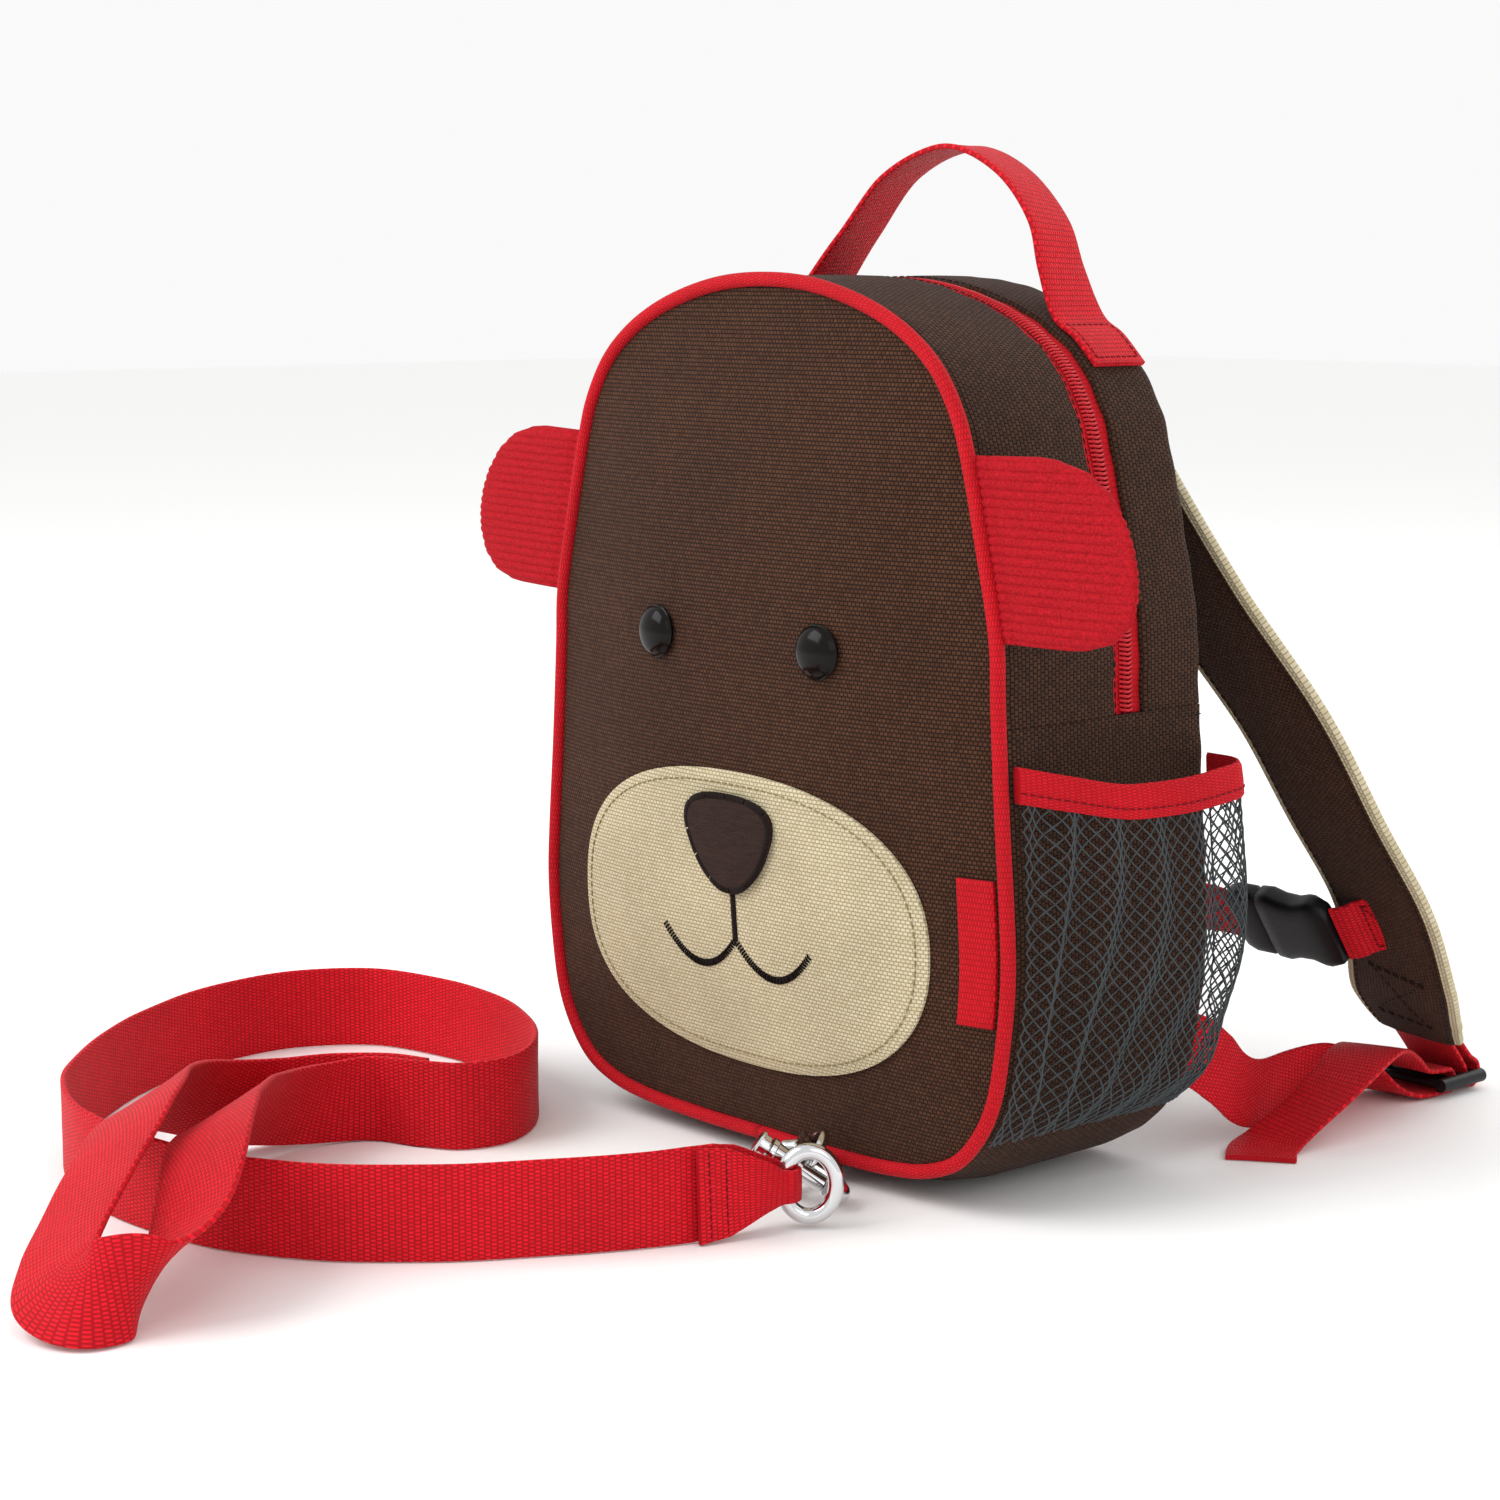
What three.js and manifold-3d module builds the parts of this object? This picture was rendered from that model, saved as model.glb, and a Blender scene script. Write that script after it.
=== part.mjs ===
// A small child's backpack with a walking leash: a soft hollow bag with ear tabs, mesh side pockets,
// shoulder straps with a chest buckle, and a webbing leash clipped under the front edge.
// Millimetres, +Z up, front towards -Y. The origin is the middle of the base, on the floor.
import * as THREE from 'three';
import Module from 'manifold-3d';

const wasm = await Module();
wasm.setup();

// Driving dimensions
const BAG_WIDTH = 192.8;
const BAG_HEIGHT = 243;
const BAG_DEPTH = 78.6;
const FLOOR_CLEARANCE = 5.1;
const CLOTH = 2;
const FIT_GAP = 0.3;
const PIPING_RADIUS = 2.1;
const GUSSET_INSET = 1.5;
const FRONT_BULGE = 11;
const BACK_BULGE = 2;
const SEAM_HEIGHT = 132;
const FRONT_GUSSET_DEPTH = 40.6;
const ZIPPER_TAPE = 13;
const COIL_WIDTH = 5;
const COIL_RISE = 1.4;
const PATCH = 1.2;
const MUZZLE_WIDTH = 142;
const MUZZLE_HEIGHT = 84;
const MUZZLE_CENTRE = 70;
const NOSE_WIDTH = 44;
const NOSE_HEIGHT = 27;
const NOSE_CENTRE = 92;
const EYE_RADIUS = 7.5;
const EYE_DOME = 4.2;
const EYE_SPREAD = 33;
const EYE_HEIGHT = 148;
const EAR_REACH = 52;
const EAR_ROOT = 49;
const EAR_THICKNESS = 4.4;
const EAR_CENTRE = 178.5;
const EAR_SWEEP = THREE.MathUtils.degToRad(7);
const LABEL_WIDTH = 10.5;
const LABEL_HEIGHT = 39;
const LABEL_CENTRE = 73.5;
const WEBBING = 1.6;
const HANDLE_WIDTH = 20;
const HANDLE_RISE = 36;
const STRAP_WIDTH = 38;
const STRAP_THICKNESS = 5;
const HARNESS_WEB = 20;
const POCKET_DROP = 13;
const POCKET_TOP = SEAM_HEIGHT - POCKET_DROP;
const POCKET_BOTTOM = 21;
const POCKET_BULGE = 21;
const NET_THICKNESS = 1.5;
const NET_COLUMNS = 7;
const NET_ROWS = 5;
const NET_BAR = 0.24;
const BINDING_HEIGHT = 9.2;
const BINDING_THICKNESS = 2.4;
const LOCK_WIDTH = 27;
const LOCK_THICKNESS = 4.2;
const LOCK_LIFT = 2.2;
const LOCK_BAR = 2.8;
const LOCK_SLOT = 3.6;
const BUCKLE_LENGTH = 37;
const BUCKLE_WIDTH = 26;
const BUCKLE_THICKNESS = 8;
const LEASH_WIDTH = 25.4;
const LEASH_LIFT = 0.3;
const EYE_RING_HALF_WIDTH = 7;
const EYE_RING_HALF_HEIGHT = 8.8;
const EYE_RING_WIRE = 2.2;
const HOOK_WIRE = 2.4;
const BARREL_RADIUS = 3.8;
const BARREL_LENGTH = 10;
const BOLT_RADIUS = 2.2;
const BOLT_TRAVEL = 5;
const HOOK_REACH = 11;
const ANCHOR_RADIUS = 8.5;
const ANCHOR_WIRE = 1.5;
const TAB_WIDTH = 7;
const TAB_X = 27;

const HALF_DEPTH = BAG_DEPTH / 2;
const FRONT_SEAM = -HALF_DEPTH;
const GUSSET_FRONT = FRONT_SEAM + PIPING_RADIUS + FIT_GAP;
const ZIPPER_FRONT = GUSSET_FRONT + FRONT_GUSSET_DEPTH;
const ZIPPER_REAR = ZIPPER_FRONT + ZIPPER_TAPE;
const HALF_WEB = LEASH_WIDTH / 2;

const v3 = (x, y, z) => new THREE.Vector3(x, y, z);
const UP = v3(0, 0, 1);
const object = new THREE.Group();

// Closed bodies from point grids
function solidFrom(triangles) {
  const keys = new Map();
  const positions = [];
  const index = [];
  const indexOf = (p) => {
    const key = `${Math.round(p.x * 2e4)},${Math.round(p.y * 2e4)},${Math.round(p.z * 2e4)}`;
    if (!keys.has(key)) {
      keys.set(key, positions.length / 3);
      positions.push(p.x, p.y, p.z);
    }
    return keys.get(key);
  };
  let volume = 0;
  for (const [a, b, c] of triangles) {
    const [i, j, k] = [indexOf(a), indexOf(b), indexOf(c)];
    if (i === j || j === k || k === i) continue;
    index.push(i, j, k);
    volume += a.dot(b.clone().cross(c));
  }
  if (volume < 0) index.reverse();
  const geometry = new THREE.BufferGeometry();
  geometry.setAttribute('position', new THREE.Float32BufferAttribute(positions, 3));
  geometry.setIndex(index);
  return geometry;
}

function quad(out, a, b, c, d) {
  out.push([a, b, c], [a, c, d]);
}

// A sheet between two grids of points, front[i][j] and back[i][j]; looped closes it along i.
function sheet(front, back, looped = false, holed = null) {
  const out = [];
  const rows = front.length;
  const columns = front[0].length;
  const last = looped ? rows : rows - 1;
  for (let i = 0; i < last; i += 1) {
    const n = (i + 1) % rows;
    for (let j = 0; j < columns - 1; j += 1) {
      const f = [front[i][j], front[n][j], front[n][j + 1], front[i][j + 1]];
      const b = [back[i][j], back[n][j], back[n][j + 1], back[i][j + 1]];
      if (holed && holed(i, j)) {
        const inner = (corners) => corners.map((p, k) => innerCorner(corners, k));
        const fi = inner(f);
        const bi = inner(b);
        for (let k = 0; k < 4; k += 1) {
          const m = (k + 1) % 4;
          quad(out, f[k], f[m], fi[m], fi[k]);
          quad(out, b[k], bi[k], bi[m], b[m]);
          quad(out, fi[k], fi[m], bi[m], bi[k]);
        }
      } else {
        quad(out, ...f);
        quad(out, b[0], b[3], b[2], b[1]);
      }
    }
    quad(out, front[n][0], front[i][0], back[i][0], back[n][0]);
    const e = columns - 1;
    quad(out, front[i][e], front[n][e], back[n][e], back[i][e]);
  }
  if (!looped) {
    for (let j = 0; j < columns - 1; j += 1) {
      quad(out, front[0][j], front[0][j + 1], back[0][j + 1], back[0][j]);
      quad(out, front[rows - 1][j + 1], front[rows - 1][j], back[rows - 1][j], back[rows - 1][j + 1]);
    }
  }
  return solidFrom(out);
}

// Corner k of a net opening, drawn in from the corners of its cell by half a bar each way
function innerCorner(corners, k) {
  const share = [[0, 0], [1, 0], [1, 1], [0, 1]][k];
  const s = share[0] ? 1 - NET_BAR / 2 : NET_BAR / 2;
  const t = share[1] ? 1 - NET_BAR / 2 : NET_BAR / 2;
  const low = corners[0].clone().lerp(corners[1], s);
  const high = corners[3].clone().lerp(corners[2], s);
  return low.lerp(high, t);
}

// A round wire along points; looped joins its ends.
function wire(points, radius, sides = 8, looped = false, start = UP) {
  const out = [];
  const count = points.length;
  let side = start.clone();
  const rings = points.map((p, i) => {
    const before = points[looped ? (i + count - 1) % count : Math.max(i - 1, 0)];
    const after = points[looped ? (i + 1) % count : Math.min(i + 1, count - 1)];
    const tangent = after.clone().sub(before).normalize();
    side = side.clone().addScaledVector(tangent, -side.dot(tangent)).normalize();
    const other = tangent.clone().cross(side);
    return Array.from({ length: sides }, (_, k) => {
      const a = (2 * Math.PI * (k + 0.5)) / sides;
      const offset = side.clone().multiplyScalar(Math.cos(a)).addScaledVector(other, Math.sin(a));
      return p.clone().addScaledVector(offset, radius);
    });
  });
  const last = looped ? count : count - 1;
  for (let i = 0; i < last; i += 1) {
    const n = (i + 1) % count;
    for (let k = 0; k < sides; k += 1) {
      const m = (k + 1) % sides;
      quad(out, rings[i][k], rings[i][m], rings[n][m], rings[n][k]);
    }
  }
  if (!looped) {
    for (let k = 0; k < sides; k += 1) {
      const m = (k + 1) % sides;
      out.push([points[0], rings[0][m], rings[0][k]]);
      out.push([points[count - 1], rings[count - 1][k], rings[count - 1][m]]);
    }
  }
  return solidFrom(out);
}

const levelLeft = (tangent) => UP.clone().cross(tangent).normalize();

// Flat webbing along route rows { at, across, width }: across points over its width.
function webbing(rows, thickness, steps, spread = 1) {
  const path = new THREE.CatmullRomCurve3(rows.map((row) => row.at), false, 'centripetal');
  const acrossPath = new THREE.CatmullRomCurve3(rows.map((row) => row.across), false, 'centripetal');
  const front = [];
  const back = [];
  for (let i = 0; i <= steps; i += 1) {
    const t = i / steps;
    const at = path.getPoint(t);
    const tangent = path.getTangent(t);
    const across = acrossPath.getPoint(t);
    across.addScaledVector(tangent, -across.dot(tangent)).normalize();
    const normal = tangent.clone().cross(across);
    const place = Math.min(Math.floor(t * (rows.length - 1)), rows.length - 2);
    const blend = t * (rows.length - 1) - place;
    const width = THREE.MathUtils.lerp(rows[place].width, rows[place + 1].width, blend);
    const shares = Array.from({ length: spread + 1 }, (_, k) => k / spread - 0.5);
    const line = (offset) => shares.map((share) => (
      at.clone().addScaledVector(across, share * width).addScaledVector(normal, offset)
    ));
    front.push(line(-thickness / 2));
    back.push(line(thickness / 2));
  }
  return sheet(front, back);
}

function add(name, geometry, colour, roughness, metalness = 0) {
  const material = new THREE.MeshStandardMaterial({ color: colour, roughness, metalness });
  const mesh = new THREE.Mesh(geometry, material);
  mesh.name = name;
  object.add(mesh);
}

const BROWN = '#4a3228';
const CREAM = '#cbbf9f';
const RED = '#c8142a';
const GREY = '#46484b';
const BLACK = '#17181a';
const STEEL = '#b9bbbd';
const DARK_BROWN = '#2c1d18';

// The bag's outline seen from the front: half its points, as shares of half width and height.
const OUTLINE = [
  { out: 0, up: 0 }, { out: 0.3, up: 0 }, { out: 0.529, up: 0.004 }, { out: 0.682, up: 0.0135 },
  { out: 0.806, up: 0.0345 }, { out: 0.892, up: 0.07 }, { out: 0.95, up: 0.115 },
  { out: 0.986, up: 0.19 }, { out: 1, up: 0.262 }, { out: 0.993, up: 0.321 },
  { out: 0.97, up: 0.43 }, { out: 0.95, up: 0.55 }, { out: 0.942, up: 0.615 },
  { out: 0.885, up: 0.72 }, { out: 0.823, up: 0.816 }, { out: 0.79, up: 0.852 },
  { out: 0.711, up: 0.901 }, { out: 0.6, up: 0.938 }, { out: 0.45, up: 0.968 },
  { out: 0.22, up: 0.993 }, { out: 0, up: 1 },
];
const OUTLINE_SAMPLES = 400;

function sampleOutline() {
  const right = OUTLINE.map((row) => v3(row.out * BAG_WIDTH / 2, 0, FLOOR_CLEARANCE + row.up * BAG_HEIGHT));
  const left = right.slice(1, -1).reverse().map((p) => v3(-p.x, 0, p.z));
  const curve = new THREE.CatmullRomCurve3([...right, ...left], true, 'centripetal');
  curve.arcLengthDivisions = 2000;
  return curve.getSpacedPoints(OUTLINE_SAMPLES).slice(0, OUTLINE_SAMPLES);
}
const outline = sampleOutline();

// A point on the outline at share s of its length, anticlockwise from the bottom, drawn in by inset
function outlineAt(s, inset, y = 0) {
  const place = ((s % 1) + 1) % 1 * OUTLINE_SAMPLES;
  const i = Math.floor(place) % OUTLINE_SAMPLES;
  const at = (k) => outline[(k + OUTLINE_SAMPLES) % OUTLINE_SAMPLES];
  const point = at(i).clone().lerp(at(i + 1), place - Math.floor(place));
  const before = at(i - 2);
  const after = at(i + 3);
  const inward = v3(-(after.z - before.z), 0, after.x - before.x).normalize();
  point.addScaledVector(inward, inset);
  point.y = y;
  return point;
}

// The share of the outline where its right side reaches a height
function shareAtHeight(height) {
  let best = 0;
  for (let i = 0; i < OUTLINE_SAMPLES / 2; i += 1) {
    if (outline[i].z <= height) best = i;
  }
  const [low, high] = [outline[best], outline[best + 1]];
  return (best + (height - low.z) / (high.z - low.z)) / OUTLINE_SAMPLES;
}

const halfWidthAt = (height) => outlineAt(shareAtHeight(height), 0).x;

// Cloth panels
const PANEL_CENTRE = FLOOR_CLEARANCE + BAG_HEIGHT / 2;
const PANEL_INSET = 2 * PIPING_RADIUS + 2 * FIT_GAP;

function panelReach(angle, inset) {
  const direction = v3(Math.sin(angle), 0, -Math.cos(angle));
  for (let i = 0; i < OUTLINE_SAMPLES; i += 1) {
    const a = outlineAt(i / OUTLINE_SAMPLES, inset);
    const b = outlineAt((i + 1) / OUTLINE_SAMPLES, inset);
    a.z -= PANEL_CENTRE;
    b.z -= PANEL_CENTRE;
    const crossA = a.x * direction.z - a.z * direction.x;
    const crossB = b.x * direction.z - b.z * direction.x;
    const forward = a.x * direction.x + a.z * direction.z;
    if (forward > 0 && crossA * crossB <= 0 && crossA !== crossB) {
      return a.lerp(b, crossA / (crossA - crossB)).length();
    }
  }
  return PANEL_CENTRE;
}

const crown = (share) => 1 - share ** 2.4;

function frontSurface(x, z) {
  const up = z - PANEL_CENTRE;
  const share = Math.hypot(x, up) / panelReach(Math.atan2(x, -up), PANEL_INSET);
  return FRONT_SEAM - FRONT_BULGE * crown(Math.min(share, 1));
}

function panel(seam, inset, bulge, wall, shares, around) {
  const rows = [];
  const backs = [];
  for (let i = 0; i < around; i += 1) {
    const angle = (2 * Math.PI * i) / around;
    const reach = panelReach(angle, inset);
    const line = (offset) => shares.map((share) => v3(
      Math.sin(angle) * share * reach,
      seam + bulge * crown(share) + offset,
      PANEL_CENTRE - Math.cos(angle) * share * reach,
    ));
    rows.push(line(0));
    backs.push(line(wall));
  }
  return sheet(rows, backs, true);
}

const FRONT_SHARES = [0, 0.3, 0.56, 0.8, 0.93, 1];
add('front_panel', panel(FRONT_SEAM, PANEL_INSET, -FRONT_BULGE, CLOTH, FRONT_SHARES, 36), BROWN, 0.85);
const BACK_INSET = GUSSET_INSET + CLOTH + 2 * FIT_GAP;
const BACK_SHARES = [0, 0.45, 0.8, 1];
add('back_panel', panel(HALF_DEPTH - CLOTH, BACK_INSET, BACK_BULGE, CLOTH, BACK_SHARES, 32), BROWN, 0.9);

const PIPING_STEPS = 46;
const pipingPath = Array.from({ length: PIPING_STEPS }, (_, i) => (
  outlineAt(i / PIPING_STEPS, PIPING_RADIUS, FRONT_SEAM)
));
add('front_piping', wire(pipingPath, PIPING_RADIUS, 6, true, v3(0, 1, 0)), RED, 0.6);

// Gusset bands: stations hold y, the outer face's inset and the wall behind it.
function band(from, to, steps, stations, drop = () => 0) {
  const outer = [];
  const inner = [];
  for (let i = 0; i <= steps; i += 1) {
    const s = THREE.MathUtils.lerp(from, to, i / steps);
    const line = (depth) => stations.map((station) => {
      const point = outlineAt(s, station.inset + depth * station.wall, station.y);
      point.z = Math.max(point.z - drop(s, station), depth * station.wall);
      return point;
    });
    outer.push(line(0));
    inner.push(line(1));
  }
  return sheet(outer, inner);
}

const SEAM_SHARE = shareAtHeight(SEAM_HEIGHT);
const SEAM_STEP = FIT_GAP / 2 / (outline[0].distanceTo(outline[1]) * OUTLINE_SAMPLES);
const ARCH_FROM = SEAM_SHARE + SEAM_STEP;
const ARCH_TO = 1 - SEAM_SHARE - SEAM_STEP;
const ARCH_STEPS = 30;

add('front_gusset', band(ARCH_FROM, ARCH_TO, ARCH_STEPS, [
  { y: GUSSET_FRONT, inset: GUSSET_INSET + 0.5, wall: CLOTH },
  { y: GUSSET_FRONT + FRONT_GUSSET_DEPTH / 2, inset: GUSSET_INSET - 0.7, wall: CLOTH },
  { y: ZIPPER_FRONT, inset: GUSSET_INSET, wall: CLOTH },
]), BROWN, 0.85);

const COIL_FRONT = ZIPPER_FRONT + (ZIPPER_TAPE - COIL_WIDTH) / 2;
const TAPE_INSET = GUSSET_INSET + COIL_RISE;
add('zipper', band(ARCH_FROM, ARCH_TO, ARCH_STEPS, [
  { y: ZIPPER_FRONT + FIT_GAP, inset: TAPE_INSET, wall: CLOTH },
  { y: COIL_FRONT, inset: TAPE_INSET, wall: CLOTH },
  { y: COIL_FRONT + FIT_GAP, inset: GUSSET_INSET, wall: CLOTH + COIL_RISE },
  { y: COIL_FRONT + COIL_WIDTH - FIT_GAP, inset: GUSSET_INSET, wall: CLOTH + COIL_RISE },
  { y: COIL_FRONT + COIL_WIDTH, inset: TAPE_INSET, wall: CLOTH },
  { y: ZIPPER_REAR - FIT_GAP, inset: TAPE_INSET, wall: CLOTH },
]), RED, 0.6);

add('rear_gusset', band(ARCH_FROM, ARCH_TO, ARCH_STEPS, [
  { y: ZIPPER_REAR, inset: GUSSET_INSET, wall: CLOTH },
  { y: HALF_DEPTH, inset: GUSSET_INSET, wall: CLOTH },
]), BROWN, 0.85);

// The lower gusset runs under the bag, where it sags to the floor and rests flat.
const REST_DROP = FLOOR_CLEARANCE + GUSSET_INSET;
const SAG = [
  { along: 0, drop: 0.12 }, { along: 0.12, drop: 0.72 }, { along: 0.28, drop: 1 },
  { along: 0.84, drop: 1 }, { along: 1, drop: 0.6 },
];
const lowerStations = SAG.map((row) => ({
  y: THREE.MathUtils.lerp(GUSSET_FRONT, HALF_DEPTH, row.along),
  inset: GUSSET_INSET,
  wall: CLOTH,
  drop: row.drop,
}));

function restingDrop(s, station) {
  const height = outlineAt(s, 0).z - FLOOR_CLEARANCE;
  const nearness = Math.max(0, 1 - height / (BAG_HEIGHT * 0.09));
  return station.drop * REST_DROP * nearness ** 1.3;
}
const LOWER_TO = SEAM_SHARE - SEAM_STEP;
add('lower_gusset', band(-LOWER_TO, LOWER_TO, 34, lowerStations, restingDrop), BROWN, 0.85);

// Zip slider with its pull, at the left end of the zip
function zipperSlider() {
  const s = 1 - shareAtHeight(SEAM_HEIGHT + 12);
  const centre = outlineAt(s, GUSSET_INSET - FIT_GAP - 1.5, COIL_FRONT + COIL_WIDTH / 2);
  const along = outlineAt(s + 0.005, 0).sub(outlineAt(s - 0.005, 0)).normalize();
  const rows = [
    { at: centre.clone().addScaledVector(along, -6), across: v3(0, 1, 0), width: 6 },
    { at: centre.clone().addScaledVector(along, 0), across: v3(0, 1, 0), width: 9 },
    { at: centre.clone().addScaledVector(along, 6), across: v3(0, 1, 0), width: 8 },
  ];
  return webbing(rows, 3, 8);
}
add('zipper_slider', zipperSlider(), STEEL, 0.3, 1);

// Flat patches that follow the front panel
function patch(boundary, centre, lift, thickness, rings, around) {
  const line = (angle, offset) => rings.map((share) => {
    const edge = boundary(angle);
    const x = edge.x * share;
    const z = centre + edge.z * share;
    return v3(x, frontSurface(x, z) - offset, z);
  });
  const angles = Array.from({ length: around }, (_, i) => (2 * Math.PI * i) / around);
  const front = angles.map((angle) => line(angle, lift + thickness));
  const back = angles.map((angle) => line(angle, lift));
  return sheet(front, back, true);
}

const PATCH_LIFT = 0.55;
const roundedOval = (width, height, power) => (angle) => {
  const c = Math.cos(angle);
  const s = Math.sin(angle);
  const x = Math.sign(s) * Math.abs(s) ** power * width / 2;
  const z = -Math.sign(c) * Math.abs(c) ** power * height / 2;
  return v3(x, 0, z);
};
const muzzleEdge = roundedOval(MUZZLE_WIDTH, MUZZLE_HEIGHT, 0.86);
add('muzzle_patch', patch(muzzleEdge, MUZZLE_CENTRE, PATCH_LIFT, PATCH, [0, 0.4, 0.75, 1], 30), CREAM, 0.9);

const noseEdge = (angle) => {
  const p = roundedOval(NOSE_WIDTH, NOSE_HEIGHT, 0.8)(angle);
  p.x *= 0.72 + 0.28 * (p.z / (NOSE_HEIGHT / 2));
  return p;
};
const NOSE_LIFT = 2 * PATCH_LIFT + PATCH;
add('nose_patch', patch(noseEdge, NOSE_CENTRE, NOSE_LIFT, PATCH, [0, 0.6, 1], 22), DARK_BROWN, 0.7);

function eyeCap(side) {
  const x = side * EYE_SPREAD;
  const reach = EYE_RADIUS;
  const profile = [
    new THREE.Vector2(0, 0), new THREE.Vector2(reach, 0), new THREE.Vector2(reach, 0.25 * EYE_DOME),
    new THREE.Vector2(0.86 * reach, 0.62 * EYE_DOME), new THREE.Vector2(0.5 * reach, 0.92 * EYE_DOME),
    new THREE.Vector2(0, EYE_DOME),
  ];
  const geometry = new THREE.LatheGeometry(profile, 14);
  const step = 1;
  const slopeX = (frontSurface(x + step, EYE_HEIGHT) - frontSurface(x - step, EYE_HEIGHT)) / (2 * step);
  const slopeZ = (frontSurface(x, EYE_HEIGHT + step) - frontSurface(x, EYE_HEIGHT - step)) / (2 * step);
  const outward = v3(slopeX, -1, slopeZ).normalize();
  geometry.applyQuaternion(new THREE.Quaternion().setFromUnitVectors(v3(0, 1, 0), outward));
  const seat = v3(x, frontSurface(x, EYE_HEIGHT), EYE_HEIGHT).addScaledVector(outward, PATCH_LIFT);
  geometry.translate(seat.x, seat.y, seat.z);
  return geometry;
}
add('eye_cap_left', eyeCap(-1), BLACK, 0.12);
add('eye_cap_right', eyeCap(1), BLACK, 0.12);

// Ear tabs: rows run out from the seam, with the half height there and the padding.
const EAR = [
  { reach: 0, half: 1, pad: 0.62 }, { reach: 0.1, half: 1, pad: 0.55 }, { reach: 0.3, half: 1.01, pad: 1 },
  { reach: 0.55, half: 0.98, pad: 1 }, { reach: 0.75, half: 0.87, pad: 1 }, { reach: 0.89, half: 0.66, pad: 0.9 },
  { reach: 0.97, half: 0.38, pad: 0.75 }, { reach: 1, half: 0.14, pad: 0.55 },
];

function ear(side) {
  const s = shareAtHeight(EAR_CENTRE);
  const root = outlineAt(s, -FIT_GAP - 0.2, FRONT_SEAM + 0.4 * EAR_THICKNESS);
  const along = outlineAt(s + 0.01, 0).sub(outlineAt(s - 0.01, 0)).normalize();
  const outward = v3(Math.cos(EAR_SWEEP), Math.sin(EAR_SWEEP), 0);
  const normal = outward.clone().cross(along).normalize();
  const columns = [-1, -0.9, -0.45, 0, 0.45, 0.9, 1];
  const line = (row, direction) => columns.map((share) => {
    const edge = Math.abs(share) > 0.95 ? 0.6 : 1;
    const point = root.clone().addScaledVector(outward, row.reach * EAR_REACH);
    point.addScaledVector(along, share * row.half * EAR_ROOT / 2);
    point.addScaledVector(normal, direction * edge * row.pad * EAR_THICKNESS / 2);
    point.x *= side;
    return point;
  });
  return sheet(EAR.map((row) => line(row, -1)), EAR.map((row) => line(row, 1)));
}
add('ear_left', ear(-1), RED, 0.95);
add('ear_right', ear(1), RED, 0.95);

function labelTab() {
  const rows = [-0.5, -0.25, 0, 0.25, 0.5].map((share) => LABEL_CENTRE + share * LABEL_HEIGHT);
  const line = (z, offset) => [0, 0.5, 1].map((share) => {
    const edge = halfWidthAt(z) - PANEL_INSET - 0.5;
    const x = edge - (1 - share) * LABEL_WIDTH;
    return v3(x, frontSurface(x, z) - offset, z);
  });
  const low = 0.5;
  return sheet(rows.map((z) => line(z, low + PATCH)), rows.map((z) => line(z, low)));
}
add('label_tab', labelTab(), RED, 0.8);

// Top handle: two feet on the rear gusset, and a free arch between them
function topHandle() {
  const y = (ZIPPER_REAR + HALF_DEPTH) / 2;
  const seat = GUSSET_INSET - 2 * FIT_GAP - WEBBING / 2;
  const foot = (x) => {
    const half = Math.abs(x);
    let s = 0.5;
    while (outlineAt(s, seat).x < half) s -= 0.0005;
    const point = outlineAt(s, seat, y);
    point.x *= Math.sign(x);
    return { at: point, across: v3(0, 1, 0), width: HANDLE_WIDTH };
  };
  const top = FLOOR_CLEARANCE + BAG_HEIGHT;
  const arch = (x, rise, turn) => ({
    at: v3(x, y, top + rise * HANDLE_RISE),
    across: v3(-turn, 1, 0),
    width: HANDLE_WIDTH,
  });
  const rows = [
    foot(-69), foot(-62), foot(-55), arch(-44, -0.02, 0.1), arch(-33, 0.3, 0.2), arch(-16, 0.74, 0.3),
    arch(8, 0.95, 0.34), arch(29, 0.75, 0.3), arch(42, 0.38, 0.2), arch(47, 0.02, 0.1),
    foot(54), foot(61), foot(69),
  ];
  return webbing(rows, WEBBING, 30);
}
add('top_handle', topHandle(), RED, 0.75);

// Mesh side pockets: columns along the pocket from front to back
const POCKET_PLAN = [
  { along: 0, out: 0, top: 1 }, { along: 0.16, out: 0.36, top: 0.3 }, { along: 0.4, out: 0.74, top: -0.5 },
  { along: 0.62, out: 0.95, top: -0.35 }, { along: 0.8, out: 1, top: 0 }, { along: 0.93, out: 0.72, top: 0.2 },
  { along: 1, out: 0.02, top: 0 },
];
const POCKET_BELLY = [
  { up: 0, out: 0.1 }, { up: 0.12, out: 0.5 }, { up: 0.3, out: 0.7 }, { up: 0.5, out: 0.92 },
  { up: 0.68, out: 1 }, { up: 0.85, out: 0.96 }, { up: 1, out: 0.9 },
];
const POCKET_DIP = 4;

function lookUp(table, column, key, value) {
  let i = 0;
  while (i < table.length - 2 && table[i + 1][key] < value) i += 1;
  const [low, high] = [table[i], table[i + 1]];
  const t = (value - low[key]) / (high[key] - low[key]);
  return low[column] + (high[column] - low[column]) * t;
}

function pocketPoint(along, up, offset) {
  const top = POCKET_TOP + POCKET_DIP * lookUp(POCKET_PLAN, 'top', 'along', along);
  const z = THREE.MathUtils.lerp(POCKET_BOTTOM, top, up);
  const belly = Math.min(Math.max(up, 0), 1);
  const bulge = lookUp(POCKET_PLAN, 'out', 'along', along) * lookUp(POCKET_BELLY, 'out', 'up', belly);
  const skin = halfWidthAt(z) - GUSSET_INSET + 4 * FIT_GAP;
  const y = THREE.MathUtils.lerp(GUSSET_FRONT + 0.5, HALF_DEPTH - 0.5, along);
  return v3(skin + offset + bulge * POCKET_BULGE, y, z);
}

function mirrored(rows, side) {
  return rows.map((row) => row.map((p) => v3(p.x * side, p.y, p.z)));
}

const BINDING_SHARE = BINDING_HEIGHT / (POCKET_TOP - POCKET_BOTTOM);

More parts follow.
